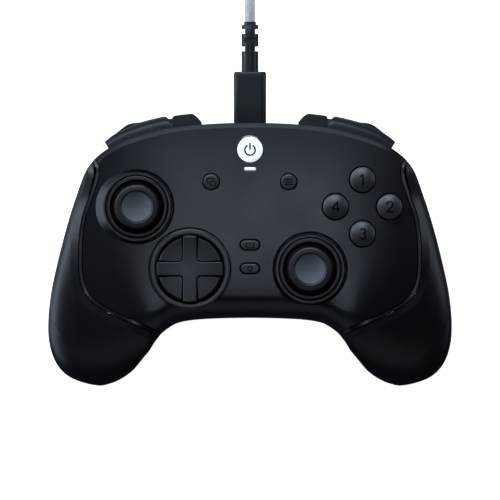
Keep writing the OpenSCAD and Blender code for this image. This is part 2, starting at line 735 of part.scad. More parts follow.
// Stick mechanism, drawn about its pivot.
stick_pivot_z = face_z - stick_pivot_d;
stick_pivot_h = stick_pivot_z - board_top;
stick_top_z = face_z + stick_rise;
box_t = 1.2;
box_top = 4;
box_corner_r = 9.9;
box_in = stick_box_w / 2 - box_t;
post_x = [6.45, 6.95];
post_w = 5;
yoke_half = [6.2, 3, 2.5];
yoke_slot = [5, 1.95];
cross_pin_r = 0.8;
arch_in = 4.7;
arch_out = 6;
arch_half_w = 3;
shaft_low = -3;
shaft_top = 14;
module at_stick(p) {
    at(p, stick_pivot_z) children();
}
module pin_x(from, to, r) {
    translate([from, 0, 0]) rotate([0, 90, 0]) cylinder(h = to - from, r = r);
}
module pin_y(from, to, r) {
    translate([0, from, 0]) rotate([-90, 0, 0]) cylinder(h = to - from, r = r);
}
module stick_housing() {
    low = -stick_pivot_h;
    color(metal_colour) difference() {
        intersection() {
            translate([-stick_box_w / 2, -stick_box_w / 2, low])
                cube([stick_box_w, stick_box_w, box_top - low]);
            translate([0, 0, low]) cylinder(h = box_top - low, r = box_corner_r);
        }
        intersection() {
            translate([-box_in, -box_in, low + 1]) cube([2 * box_in, 2 * box_in, 2 * stick_pivot_h]);
            translate([0, 0, low + 1]) cylinder(h = 2 * stick_pivot_h, r = box_corner_r - box_t);
        }
        pin_y(-stick_box_w, stick_box_w, yoke_pin_r + pin_gap);
    }
}
module stick_carrier() {
    base_z = -stick_pivot_h + 1 + stick_press + 0.3;
    color(key_colour) difference() {
        union() {
            for (x = [-1, 1]) translate([x * (post_x[0] + post_x[1]) / 2, 0, base_z / 2 + 1])
                cube([post_x[1] - post_x[0], post_w, 2 - base_z], center = true);
            translate([-post_x[1], -post_w / 2, base_z]) cube([2 * post_x[1], post_w, 0.7]);
        }
        pin_x(-10, 10, yoke_pin_r + pin_gap);
    }
}
module stick_lower_yoke() {
    color(light_colour * 0.8) difference() {
        union() {
            cube(2 * yoke_half, center = true);
            pin_x(-post_x[1], post_x[1], yoke_pin_r);
        }
        cube([2 * yoke_slot.x, 2 * yoke_slot.y, 4 * yoke_half.z], center = true);
        pin_y(-10, 10, cross_pin_r + pin_gap);
    }
}
module stick_upper_yoke() {
    color(light_colour * 0.7) difference() {
        union() {
            intersection() {
                pin_x(-arch_half_w, arch_half_w, arch_out);
                translate([-10, -10, -1.6]) cube([20, 20, 20]);
            }
            pin_y(-stick_box_w / 2, stick_box_w / 2, yoke_pin_r);
        }
        pin_x(-10, 10, arch_in);
        translate([0, 0, arch_in]) cube([2 * (shaft_r + 0.35), 2 * 3.9, 6], center = true);
    }
}
module stick_shaft() {
    color(metal_colour) {
        translate([0, 0, shaft_low]) cylinder(h = shaft_top - shaft_low, r = shaft_r);
        pin_y(-yoke_half.y, yoke_half.y, cross_pin_r);
    }
}
neck_r = 5.4;
dish_r = 6;
function cap_profile() =
    let (top = stick_top_z - stick_pivot_z, in_r = dome_r - dome_t, rim = 80)
    let (meet = acos(neck_r / dome_r), roof = acos(neck_r / in_r))
    concat(
        [for (a = [90 - rim:(roof - 90 + rim) / 8:roof + 0.01]) in_r * [cos(a), sin(a)]],
        [[neck_r - 0.6, in_r - 1], [shaft_r + pin_gap, in_r - 1], [shaft_r + pin_gap, shaft_top + 0.2],
         [0, shaft_top + 0.2], [0, top - 1.3]],
        [for (k = [1:4]) [dish_r * k / 4, top - 1.3 + 0.9 * pow(k / 4, 2)]],
        [[dish_r + 0.5, top - 0.1], [dish_r + 0.9, top], [stick_cap_r - 0.6, top - 0.5],
         [stick_cap_r, top - 1.4], [stick_cap_r, top - 3.4], [stick_cap_r - 0.7, top - 4.4],
         [neck_r + 0.6, top - 5], [neck_r, top - 5.8]],
        [for (a = [meet:-(meet - 90 + rim) / 8:90 - rim - 0.01]) dome_r * [cos(a), sin(a)]]
    );
module stick_cap() {
    color(key_colour) rotate_extrude() polygon(cap_profile());
}
module left_stick_housing() at_stick(left_stick) stick_housing();
module right_stick_housing() at_stick(right_stick) stick_housing();
module left_stick_carrier() at_stick(left_stick) stick_carrier();
module right_stick_carrier() at_stick(right_stick) stick_carrier();
module left_stick_lower_yoke() at_stick(left_stick) stick_lower_yoke();
module right_stick_lower_yoke() at_stick(right_stick) stick_lower_yoke();
module left_stick_upper_yoke() at_stick(left_stick) stick_upper_yoke();
module right_stick_upper_yoke() at_stick(right_stick) stick_upper_yoke();
module left_stick_shaft() at_stick(left_stick) stick_shaft();
module right_stick_shaft() at_stick(right_stick) stick_shaft();
module left_stick_cap() at_stick(left_stick) stick_cap();
module right_stick_cap() at_stick(right_stick) stick_cap();

// Direction pad on two crossed pins.
dpad_post_r = 2.4;
dpad_pin_r = 1;
rocker_r = [3.3, 5.4];
lug_x = [6, 7.6];
dpad_pivot_z = face_z - dpad_pivot_d;
dpad_top_z = face_z + dpad_h;
dpad_low_z = dpad_pivot_z + 2.6;
module dpad_post() {
    color(key_colour) at(dpad_at) {
        translate([0, 0, board_top]) cylinder(h = dpad_pivot_z + 1.4 - board_top, r = dpad_post_r);
        translate([0, 0, board_top]) cylinder(h = 1.5, r = dpad_post_r + 2);
        translate([0, 0, dpad_pivot_z]) pin_y(-rocker_r[1] + 0.3, rocker_r[1] - 0.3, dpad_pin_r);
    }
}
module dpad_rocker() {
    color(metal_colour) at(dpad_at, dpad_pivot_z) difference() {
        union() {
            translate([0, 0, -1.6]) cylinder(h = 3.2, r = rocker_r[1]);
            pin_x(-lug_x[1], lug_x[1], dpad_pin_r);
        }
        translate([0, 0, -3]) cylinder(h = 6, r = rocker_r[0]);
        pin_y(-10, 10, dpad_pin_r + pin_gap);
    }
}
module dpad_cap() {
    color(key_colour) at(dpad_at) {
        difference() {
            union() {
                translate([0, 0, dpad_low_z]) cylinder(h = dpad_top_z - 0.9 - dpad_low_z, r = dpad_r);
                intersection() {
                    translate([0, 0, dpad_low_z]) cylinder(h = dpad_top_z - dpad_low_z, r = arm_r);
                    for (a = [0, 90]) rotate(a) translate([-arm_r, -arm_w / 2, dpad_low_z])
                        cube([2 * arm_r, arm_w, dpad_top_z - dpad_low_z]);
                }
            }
            for (a = [45:90:315]) rotate(a) translate([dpad_r * 0.72, 0, dpad_top_z - 0.9 + 5.3])
                sphere(r = 6);
        }
        for (x = [-1, 1]) difference() {
            translate([x * (lug_x[0] + lug_x[1]) / 2, 0, (dpad_low_z + dpad_pivot_z - 2) / 2])
                cube([lug_x[1] - lug_x[0], 4.4, dpad_low_z - dpad_pivot_z + 2], center = true);
            translate([0, 0, dpad_pivot_z]) pin_x(-10, 10, dpad_pin_r + pin_gap);
        }
    }
}

// Buttons: a domed top, a flange that stays under the shell and a stem over its switch.
function stem_low(travel) = switch_top + travel + stem_clear;
dome_steps = 6;
function key_profile(r, height, dome, travel) =
    let (low = flange_top - flange_t, top = face_z + height)
    concat(
        [[0, stem_low(travel)], [stem_r, stem_low(travel)], [stem_r, low], [r + flange_w, low],
         [r + flange_w, flange_top], [r, flange_top]],
        [for (k = [0:dome_steps]) let (f = 1 - pow(k / dome_steps, 2)) [r * f, top - dome * pow(f, 2.4)]]
    );
module round_key(p, r, height, dome, travel, colour) {
    color(colour) at(p) rotate_extrude() polygon(key_profile(r, height, dome, travel));
}
face_dome = 1.3;
small_dome = 0.3;
module face_button(k) {
    round_key(face_button_at(k), face_button_r, face_button_h, face_dome, face_button_travel, key_colour);
}
module face_button_top() face_button(0);
module face_button_right() face_button(1);
module face_button_bottom() face_button(2);
module face_button_left() face_button(3);
module view_button() round_key(view_at, small_r, small_h, small_dome, small_travel, key_colour);
module menu_button() round_key(menu_at, small_r, small_h, small_dome, small_travel, key_colour);
module home_button() round_key(home_at, home_r, small_h, small_dome, small_travel, light_colour);
module pill_key(p) {
    low = flange_top - flange_t;
    color(key_colour) at(p) {
        translate([0, 0, low]) linear_extrude(face_z + small_h - low) stadium(pill.x, pill.y);
        translate([0, 0, low]) linear_extrude(flange_t) stadium(pill.x + 2 * flange_w, pill.y + 2 * flange_w);
        translate([0, 0, stem_low(small_travel)]) cylinder(h = low - stem_low(small_travel), r = stem_r);
    }
}
module share_button() pill_key(share_at);
module profile_button() pill_key(profile_at);

module right_bumper() {
    color(key_colour) sculpted() bumper_shape();
}
module left_bumper() {
    color(key_colour) sculpted() mirror([1, 0, 0]) bumper_shape();
}
module right_claw_button() {
    color(key_colour) sculpted() claw_shape();
}
module left_claw_button() {
    color(key_colour) sculpted() mirror([1, 0, 0]) claw_shape();
}

module trigger_shape() {
    at_trigger() difference() {
        trigger_body();
        along_axle(trigger_w + 2, axle_r + pin_gap);
    }
}
module right_trigger() {
    color(key_colour) sculpted() trigger_shape();
}
module left_trigger() {
    color(key_colour) sculpted() mirror([1, 0, 0]) trigger_shape();
}
bracket_back = -16;
bracket_front = -6;
bracket_low = 29.6;
bracket_plate = 1.6;
ear_at = trigger_w / 2 + trigger_gap + ear_t / 2;
module trigger_bracket() {
    high = board_z - 0.1;
    at_trigger() difference() {
        union() {
            for (x = [-1, 1]) translate([x * ear_at - ear_t / 2, bracket_back, bracket_low])
                cube([ear_t, bracket_front - bracket_back, high - bracket_low]);
            translate([-ear_at, bracket_back, bracket_low])
                cube([2 * ear_at, bracket_plate, high - bracket_low]);
        }
        along_axle(4 * trigger_w, axle_r + pin_gap);
    }
}
module trigger_brackets() {
    color(metal_colour * 0.6) both_sides() trigger_bracket();
}
module trigger_axles() {
    color(metal_colour) both_sides() at_trigger() along_axle(trigger_w + 2 * (trigger_gap + ear_t), axle_r);
}

// Back buttons and trigger stops stand in holes of the underside.
module back_button(p, side) {
    low = belly_z - back_out;
    seat = belly_z + wall + flange_gap;
    color(key_colour) translate([side * p.x, p.y, 0]) rotate(90) {
        translate([0, 0, low]) linear_extrude(seat + flange_t - low) stadium(back_pad.x, back_pad.y);
        translate([0, 0, seat]) linear_extrude(flange_t)
            stadium(back_pad.x + 2 * flange_w, back_pad.y + 2 * flange_w);
    }
}
module left_back_button_high() back_button(back_high_at, -1);
module left_back_button_low() back_button(back_low_at, -1);
module right_back_button_high() back_button(back_high_at, 1);
module right_back_button_low() back_button(back_low_at, 1);
stop_out = 0.6;
module trigger_stop(side) {
    low = belly_z - stop_out;
    seat = belly_z + wall + flange_gap;
    color(metal_colour * 0.5) translate([side * (stop_at.x - stop_travel / 2), stop_at.y, 0]) {
        translate([0, 0, low]) linear_extrude(seat + flange_t - low) stadium(stop_pad.x, stop_pad.y);
        translate([0, 0, seat]) linear_extrude(flange_t)
            stadium(stop_pad.x + stop_travel, stop_pad.y + 2 * flange_w);
    }
}
module left_trigger_stop() trigger_stop(-1);
module right_trigger_stop() trigger_stop(1);

// Rumble motors lie across the grips, each with an off-centre weight on its shaft.
motor_shaft_r = 1;
weight_t = 5;
weight_gap = 0.6;
module motor() {
    translate(motor_at) pin_x(0, motor_l, motor_r);
    translate(motor_at) pin_x(motor_l, motor_l + weight_gap + weight_t, motor_shaft_r);
}
module rumble_motors() {
    color(metal_colour) both_sides() motor();
}
module motor_weight() {
    translate(motor_at + [motor_l + weight_gap, 0, 0]) difference() {
        union() {
            intersection() {
                pin_x(0, weight_t, weight_r);
                translate([0, -weight_r, -2 * weight_r]) cube([weight_t, 2 * weight_r, 2 * weight_r]);
            }
            pin_x(0, weight_t, motor_shaft_r + 1.4);
        }
        pin_x(-1, weight_t + 1, motor_shaft_r + pin_gap);
    }
}
module right_motor_weight() {
    color(metal_colour * 0.8) motor_weight();
}
module left_motor_weight() {
    color(metal_colour * 0.8) mirror([1, 0, 0]) motor_weight();
}

// The lead: a tip in the socket, a housing, a notched strain relief and the cord.
plug_y = outer(0).y + 0.3;
relief_y = plug_y + plug.y;
plug_corner = 2.4;
module plug_tip() {
    color(metal_colour) translate([0, plug_y, port_z]) rotate([90, 0, 0])
        linear_extrude(tip_l) stadium(tip.x, tip.y);
}
module rounded_bar(size, corner) {
    rotate([-90, 0, 0]) linear_extrude(size.y) offset(r = corner)
        square([size.x - 2 * corner, size.z - 2 * corner], center = true);
}
module plug_housing() {
    color(shell_colour) translate([0, plug_y, port_z]) rounded_bar(plug, plug_corner);
}
notch_at = [0.457, 0.806];
slot_at = 0.631;
notch_w = 1.9;
notch_core = 0.64;
neck_l = 1.2;
neck_share = 0.71;
module strain_relief() {
    cut_at = relief_r * (notch_core + 0.5);
    color(key_colour) translate([0, relief_y, port_z]) rotate([-90, 0, 0]) {
        difference() {
            cylinder(h = relief_l - neck_l, r = relief_r);
            for (s = [-1, 1]) {
                for (g = notch_at) translate([s * cut_at, 0, relief_l * g])
                    cube([relief_r, 3 * relief_r, notch_w], center = true);
                translate([0, s * cut_at, relief_l * slot_at])
                    cube([3 * relief_r, relief_r, notch_w], center = true);
            }
        }
        translate([0, 0, relief_l - 2 * neck_l]) cylinder(h = 2 * neck_l, r = relief_r * neck_share);
    }
}

// The cord's route in three stretches. The lead comes down to the table beyond the plug, the coil lies
// there in four layers, and the tail leaves its top layer for the far plug. Each point of a drop is a
// distance along the table and a share of the height.
cord_low = cord_d / 2 + 0.1;
lead_drop = [
    [0, 1], [4.1, 1], [8.6, 0.976], [13.6, 0.9], [18.6, 0.771], [23.6, 0.599], [28.6, 0.4], [33.6, 0.222],
    [38.6, 0.098], [43.6, 0.028], [48.6, 0.002], [54.6, 0], [61.6, 0]
];
tail_drop = [
    [0, 1], [8, 1], [16, 0.979], [22, 0.879], [28, 0.663], [34, 0.396], [40, 0.163], [46, 0.038], [52, 0],
    [58, 0]
];
function drop(line, from, high, low) = [for (p = line) [0, from + p.x, blend(low, high, p.y)]];
lead_route = drop(lead_drop, relief_y + relief_l, port_z, cord_low);
coil_out = 37.4;
coil_mid = [-coil_out, lead_route[len(lead_route) - 1].y];
coil_step = cord_d + 0.6;
coil_turns = 3.625;
coil_layers = 4;
coil_dip = 1.2;
loop_rings = 24;
coil_sides = 6;
tube_sides = 8;
tail_route = drop(tail_drop, coil_mid.y, cord_low + coil_step * (coil_layers - 1), far_plug.z / 2 + 0.05);

// Radius and height along the coil, counted in turns: in and out by layers, climbing between them.
layer_span = coil_turns + 0.5;
function coil_point(t) =
    let (layer = min(floor(t / layer_span), coil_layers - 1), run = t - layer * layer_span)
    let (climb = max(0, run - coil_turns) / 0.5, inwards = layer % 2 == 0)
    let (near = min(run, coil_turns), r = inwards ? coil_out - coil_step * near
        : coil_out - coil_step * (coil_turns - near))
    let (reach = r + (inwards ? -1 : 1) * coil_dip * sin(180 * climb))
    let (height = cord_low + coil_step * (layer + ease(climb)))
    [coil_mid.x + reach * cos(360 * t), coil_mid.y + reach * sin(360 * t), height];
coil_total = coil_layers * coil_turns + (coil_layers - 1) / 2;
coil_rings = ceil(coil_total * loop_rings);
coil_route = [for (k = [0:coil_rings]) coil_point(coil_total * k / coil_rings)];

function along(route, k) = let (n = len(route) - 1) unit(route[min(k + 1, n)] - route[max(k - 1, 0)]);
function cord_ring(route, k, sides) =
    let (t = along(route, k), a = unit(cross(t, [0, 0, 1])), b = cross(a, t))
    [for (j = [0:sides - 1]) let (w = 360 * (j + 0.5) / sides)
        route[k] + cord_d / 2 * (a * cos(w) + b * sin(w))];
module cord_tube(route, sides) {
    n = len(route);
    rings = [for (k = [0:n - 1]) cord_ring(route, k, sides)];
    walls = flat([for (k = [0:n - 2], j = [0:sides - 1])
        let (a = k * sides + j, b = k * sides + (j + 1) % sides) halves([a, b, b + sides, a + sides])]);
    faces = concat(walls, fan(0, sides, true), fan((n - 1) * sides, sides, false));
    color(cord_colour) polyhedron(flat(rings), faces, convexity = 10);
}
function route_length(route) =
    let (steps = [for (k = [1:len(route) - 1]) norm(route[k] - route[k - 1])]) steps * [for (s = steps) 1];
function least_gap(route) =
    let (n = len(route), apart = loop_rings / 2)
    min([for (i = [0:n - 1 - apart], j = [i + apart:n - 1]) norm(route[i] - route[j])]) - cord_d;
module cable_lead() cord_tube(lead_route, tube_sides);
module cable_coil() {
    echo(coil_least_gap = least_gap(coil_route));
    echo(cord_length = route_length(lead_route) + route_length(coil_route) + route_length(tail_route));
    cord_tube(coil_route, coil_sides);
}
module cable_tail() cord_tube(tail_route, tube_sides);

far_y = tail_route[len(tail_route) - 1].y;
far_z = tail_route[len(tail_route) - 1].z;
far_relief_l = 13;
module far_plug_housing() {
    color(shell_colour) translate([0, far_y, far_z]) {
        rotate([-90, 0, 0]) cylinder(h = far_relief_l, r = relief_r);
        translate([0, far_relief_l, 0]) rounded_bar(far_plug, plug_corner);
    }
}
module far_plug_tip() {
    color(metal_colour) translate([0, far_y + far_relief_l + far_plug.y, far_z]) difference() {
        translate([-far_tip.x / 2, 0, -far_tip.z / 2]) cube(far_tip);
        translate([-far_tip.x / 2 + 0.4, 1, 0]) cube([far_tip.x - 0.8, far_tip.y, far_tip.z / 2 - 0.4]);
    }
}

front_shell();
rear_shell();
left_grip();
right_grip();
main_board();
case_screws();
lead_socket();
headset_socket();
button_switches();
indicator_lens();
stick_rings();
left_stick_housing();
right_stick_housing();
dpad_post();
trigger_brackets();
trigger_axles();
rumble_motors();
left_motor_weight();
right_motor_weight();
left_stick_carrier();
left_stick_lower_yoke();
left_stick_upper_yoke();
left_stick_shaft();
left_stick_cap();
right_stick_carrier();
right_stick_lower_yoke();
right_stick_upper_yoke();
right_stick_shaft();
right_stick_cap();
dpad_rocker();
dpad_cap();
face_button_top();
face_button_right();
face_button_bottom();
face_button_left();
view_button();
menu_button();
home_button();
share_button();
profile_button();
left_bumper();
right_bumper();
left_claw_button();
right_claw_button();
left_trigger();
right_trigger();
left_back_button_high();
left_back_button_low();
right_back_button_high();
right_back_button_low();
left_trigger_stop();
right_trigger_stop();
plug_tip();
plug_housing();
strain_relief();
cable_lead();
cable_coil();
cable_tail();
far_plug_housing();
far_plug_tip();
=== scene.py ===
"""Looks of a wired gamepad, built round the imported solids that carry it.

Sizes are millimetres unless a name says otherwise. +X is the player's right hand, +Y points to the lead and
+Z is up from the table.
"""

from __future__ import annotations

import logging
import math
from dataclasses import dataclass
from enum import Enum
from typing import Any, Callable, Iterable, Mapping, Sequence, Union

import bmesh
import bpy
import numpy as np
from mathutils import Matrix, Vector
from mathutils.bvhtree import BVHTree

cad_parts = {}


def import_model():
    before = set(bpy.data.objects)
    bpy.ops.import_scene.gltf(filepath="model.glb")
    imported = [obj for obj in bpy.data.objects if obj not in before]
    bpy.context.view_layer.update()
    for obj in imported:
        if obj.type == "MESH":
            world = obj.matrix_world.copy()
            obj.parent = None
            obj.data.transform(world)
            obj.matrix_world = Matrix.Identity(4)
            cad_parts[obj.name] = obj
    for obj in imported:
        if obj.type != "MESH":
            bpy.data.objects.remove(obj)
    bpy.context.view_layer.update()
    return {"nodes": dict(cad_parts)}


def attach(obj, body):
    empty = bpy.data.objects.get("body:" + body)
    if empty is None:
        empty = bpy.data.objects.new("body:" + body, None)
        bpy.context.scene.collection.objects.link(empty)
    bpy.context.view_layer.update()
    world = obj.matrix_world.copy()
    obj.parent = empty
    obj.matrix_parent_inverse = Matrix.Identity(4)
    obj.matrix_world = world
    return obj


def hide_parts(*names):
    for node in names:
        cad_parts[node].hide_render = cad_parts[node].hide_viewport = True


LOG = logging.getLogger("gamepad")
MM = 0.001
DOUBLED = 1e-7  # metres under which two corners are one
SLIVER = 2e-5  # metres under which what a cut leaves over is dropped
CORD_MAP = "along_cord"

Array = np.ndarray
Colour = tuple[float, float, float]
Point = tuple[float, float]
Object = bpy.types.Object


class Side(Enum):
    """Hand of a piece that comes in two."""

    LEFT = -1
    RIGHT = 1

    @property
    def word(self) -> str:
        """Lower-case name used in the names of pieces."""
        return self.name.lower()


class Half(Enum):
    """Half of the body above or below its joint line."""

    UPPER = 1
    LOWER = -1


class Cut(Enum):
    """What a tool shape does to a piece."""

    REMOVE = "DIFFERENCE"
    JOIN = "UNION"
    KEEP = "INTERSECT"


# Shapes


def ease(t: Array) -> Array:
    """Smooth step from 0 to 1."""
    c = np.clip(t, 0.0, 1.0)
    return c * c * (3.0 - 2.0 * c)


def between(a: Any, b: Any, t: Any) -> Any:
    """Value a share t of the way from a to b."""
    return a + (b - a) * t


def beside(*parts: Array) -> Array:
    """Columns, or arrays of columns, side by side."""
    return np.column_stack(parts)


def bend(known: Sequence[Array], t: Array) -> Array:
    """Points of a smooth curve, a share t of the way from the second to the third of four points."""
    a, b, c, d = known
    return 0.5 * (2 * b + (c - a) * t + (2 * a - 5 * b + 4 * c - d) * t**2 + (3 * b - a - 3 * c + d) * t**3)


def spline(line: Sequence[Point], u: Array, before: Point, after: Point) -> Array:
    """Points of a smooth curve through given points.

    Args:
        line: Points on the curve.
        u: Places along it, counted in points.
        before: Point that leads into the curve.
        after: Point that follows it.

    Returns:
        Array of points, one per place.
    """
    known = np.vstack([before, line, after]).astype(float)
    i = np.clip(np.floor(u).astype(int), 0, len(line) - 2)
    return bend([known[i + k] for k in range(4)], (u - i)[:, None])


def closed_spline(line: Array, per_point: int) -> Array:
    """Smooth closed curve through points of any dimension.

    Args:
        line: Points round the curve.
        per_point: New points for each given one.

    Returns:
        Array of points.
    """
    n = len(line)
    u = np.arange(n * per_point) / per_point
    i = np.floor(u).astype(int)
    return bend([line[(i + k) % n] for k in (-1, 0, 1, 2)], (u - i)[:, None])


def even(values: Array, reach: int = 9) -> Array:
    """Running mean of values along a line."""
    window = np.hanning(2 * reach + 3)[1:-1]
    return np.convolve(np.pad(values, reach, "reflect", reflect_type="odd"), window / window.sum(), "valid")


def plan_normals(line: Array, looped: bool) -> Array:
    """Unit normals of a line in plan, to the right of its run.

    Args:
        line: Points of the line.
        looped: Whether its end joins its start.

    Returns:
        Array of unit vectors.
    """
    run = np.roll(line, -1, 0) - np.roll(line, 1, 0) if looped else np.gradient(line, axis=0)
    run = run / np.maximum(np.linalg.norm(run, axis=1), 1e-9)[:, None]
    return beside(run[:, 1], -run[:, 0])


def circle(r: float, steps: int) -> Array:
    """Points round a circle, anticlockwise from +X."""
    a = np.linspace(0, 2 * math.pi, steps, endpoint=False)
    return beside(np.cos(a), np.sin(a)) * r


def grid_faces(rows: int, columns: int, closed: bool = False) -> list[tuple[int, ...]]:
    """Faces of a grid of points, row after row.

    Args:
        rows: Rows of points.
        columns: Points in a row.
        closed: Whether the end of each row joins its start.

    Returns:
        Corner numbers of each face.
    """
    faces: list[tuple[int, ...]] = []
    for start in range(0, (rows - 1) * columns, columns):
        for j in range(columns if closed else columns - 1):
            a, b = start + j, start + (j + 1) % columns
            faces.append((a, b, b + columns, a + columns))
    return faces


def stadium(length: float, width: float, steps: int = 24) -> Array:
    """Outline of a bar with round ends, along X.

    Args:
        length: Whole length.
        width: Width, which is the diameter of the ends.
        steps: Points on each end.

    Returns:
        Points, anticlockwise.
    """
    a = np.linspace(-math.pi / 2, math.pi / 2, steps)
    end = beside(np.cos(a), np.sin(a)) * width / 2
    end[:, 0] += (length - width) / 2
    return np.vstack([end, -end])


def rounded_box(width: float, height: float, corner: float, steps: int = 8) -> Array:
    """Outline of a rectangle with round corners.

    Args:
        width: Size across.
        height: Size up.
        corner: Radius of the corners.
        steps: Points on each corner.

    Returns:
        Points, anticlockwise.
    """
    a = np.linspace(0, math.pi / 2, steps)
    arc = beside(np.cos(a), np.sin(a)) * corner
    arc += [width / 2 - corner, height / 2 - corner]
    flip = np.array([-1.0, 1.0])
    return np.vstack([arc, (arc * flip)[::-1], -arc, (arc * -flip)[::-1]])


class Solid:
    """Closed shapes in millimetres, gathered into one mesh."""

    def __init__(self) -> None:
        """Starts with no shape."""
        self._points: list[Array] = []
        self._faces: list[tuple[int, ...]] = []
        self._count = 0

    def add(self, points: Array, faces: Iterable[Sequence[int]]) -> Solid:
        """Adds a shape.

        Args:
            points: Its corners.
            faces: Its faces, by corner number.

        Returns:
            This solid.
        """
        flat = np.asarray(points, float).reshape(-1, 3)
        self._points.append(flat)
        self._faces += [tuple(self._count + i for i in f) for f in faces]
        self._count += len(flat)
        return self

    def loft(self, rings: Array, looped: bool = False) -> Solid:
        """Adds a skin over rings of points.

        Args:
            rings: Array of rings, each a closed run of points.
            looped: Whether the last ring joins the first. Otherwise both ends are capped.

        Returns:
            This solid.
        """
        n, m = rings.shape[:2]
        faces = [tuple(k % (n * m) for k in f) for f in grid_faces(n + looped, m, True)]
        if not looped:
            faces += [tuple(range(m)), tuple(range((n - 1) * m, n * m))]
        return self.add(rings, faces)

    def lathe(self, profile: Sequence[Point], at: Sequence[float] = (0, 0, 0), looped: bool = False,
              segments: int = 96) -> Solid:
        """Adds a turned shape about a vertical axis.

        Args:
            profile: Radius and height along the shape, from axis to axis, or round a ring's section.
            at: Place of the axis.
            looped: Whether the profile is a ring's closed section.
            segments: Faces round the axis.

        Returns:
            This solid.
        """
        x, y = circle(1.0, segments).T
        line = np.asarray(profile, float)
        rings = np.stack([line[:, :1] * x, line[:, :1] * y, np.repeat(line[:, 1:], segments, 1)], 2)
        return self.loft(rings + np.asarray(at, float), looped)

    @staticmethod
    def _stack(outline: Array, levels: Sequence[Point]) -> Array:
        """Rings of an outline, drawn in at each level, with the level as third coordinate."""
        out = plan_normals(outline, True)
        return np.stack([beside(outline - out * inset, np.full(len(outline), z)) for inset, z in levels])

    def prism(self, outline: Array, levels: Sequence[Point], at: Sequence[float] = (0, 0, 0)) -> Solid:
        """Adds an upright shape from an outline and levels, each how far it is drawn in and its height."""
        return self.loft(self._stack(outline, levels) + np.asarray(at, float))

    def bar(self, outline: Array, levels: Sequence[Point], at: Sequence[float]) -> Solid:
        """Adds a shape like a prism's that lies along +Y, with its outline in X and Z."""
        return self.loft(self._stack(outline, levels)[:, :, [0, 2, 1]] + np.asarray(at, float))

    def box(self, corner: Sequence[float], opposite: Sequence[float]) -> Solid:
        """Adds a block between two opposite corners."""
        (a, c), (b, d), ends = (sorted(pair) for pair in zip(corner, opposite))
        return self.prism(np.array([[a, b], [c, b], [c, d], [a, d]]), [(0, z) for z in ends])

    def moved(self, change: Callable[[Array], Array]) -> Solid:
        """Puts every corner where a function of an array of corners says."""
        self._points = [change(p) for p in self._points]
        return self

    def piece(self, name: str, crease: float = 35.0) -> Object:
        """Makes the object.

        Args:
            name: Name of the piece.
            crease: Angle in degrees past which an edge stays sharp.

        Returns:
            The new object, at the origin.
        """
        mesh = bpy.data.meshes.new(name)
        mesh.from_pydata((np.vstack(self._points) * MM).tolist(), [], self._faces)
        clean(mesh, DOUBLED, True)
        obj = linked(name, mesh)
        smooth(obj, crease)
        return obj


def linked(name: str, data: Any) -> Object:
    """New object at the origin, in the scene.

    Args:
        name: Its name.
        data: Its mesh, light or camera.

    Returns:
        The object.
    """
    obj = bpy.data.objects.new(name, data)
    bpy.context.scene.collection.objects.link(obj)
    return obj


def clean(mesh: bpy.types.Mesh, reach: float, outwards: bool) -> None:
    """Joins doubled corners and drops faces without area.

    Args:
        mesh: The mesh.
        reach: Distance in metres under which corners are one.
        outwards: Whether all faces are turned outwards too.
    """
    work = bmesh.new()
    work.from_mesh(mesh)
    bmesh.ops.remove_doubles(work, verts=work.verts, dist=reach)
    bmesh.ops.dissolve_degenerate(work, edges=work.edges, dist=reach)
    if outwards:
        bmesh.ops.recalc_face_normals(work, faces=work.faces)
    work.to_mesh(mesh)
    work.free()


def smooth(obj: Object, crease: float) -> None:
    """Shades a piece smooth up to an angle in degrees.

    Args:
        obj: The piece.
        crease: That angle.
    """
    mesh = obj.data
    mesh.polygons.foreach_set("use_smooth", np.ones(len(mesh.polygons), bool))
    mesh.set_sharp_from_angle(angle=math.radians(crease))
    mesh.update()


def settle(obj: Object) -> None:
    """Turns a piece with its modifiers into a plain mesh.

    Args:
        obj: The piece.
    """
    graph = bpy.context.evaluated_depsgraph_get()
    mesh = bpy.data.meshes.new_from_object(obj.evaluated_get(graph))
    old = obj.data
    obj.modifiers.clear()
    obj.data = mesh
    mesh.name = obj.name
    bpy.data.meshes.remove(old)


def shape(obj: Object, tool: Solid, how: Cut, crease: float = 35.0) -> None:
    """Cuts or joins a piece with a tool shape.

    Args:
        obj: The piece, a closed mesh.
        tool: Closed shapes that don't overlap each other.
        how: What the tool does.
        crease: Angle in degrees past which an edge stays sharp.
    """
    cutter = tool.piece(f"{obj.name}.tool")
    mod = obj.modifiers.new("shape", "BOOLEAN")
    mod.operation, mod.solver, mod.object = how.value, "MANIFOLD", cutter
    settle(obj)
    bpy.data.objects.remove(cutter)
    smooth(obj, crease)


def even_shading(obj: Object, crease: float) -> None:
    """Lets a cut piece's large faces lead its shading, so that small ones don't dent it.

    Args:
        obj: The piece, with all its cuts.
        crease: Angle in degrees past which an edge stays sharp.
    """
    clean(obj.data, SLIVER, False)
    smooth(obj, crease)
    mod = obj.modifiers.new("shading", "WEIGHTED_NORMAL")
    mod.mode, mod.keep_sharp, mod.weight = "FACE_AREA", True, 60
    settle(obj)


def shift(at: Point) -> Matrix:
    """Matrix that moves a mesh in plan by millimetres."""
    return Matrix.Translation(Vector((at[0] * MM, at[1] * MM, 0)))


def fit(obj: Object, body: str, slot: str, material: bpy.types.Material, *nodes: str) -> Object:
    """Dresses a piece and puts it on its body.

    Args:
        obj: The piece.
        body: Body that it rides on.
        slot: Slot of the record that holds its finish. Not used.
        material: Its material.
        *nodes: Solids that it stands for.

    Returns:
        The piece.
    """
    obj.data.materials.clear()
    obj.data.materials.append(material)
    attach(obj, body)
    if nodes:
        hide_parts(*nodes)
    LOG.info("%s on %s, %d faces", obj.name, body, len(obj.data.polygons))
    return obj


# Materials


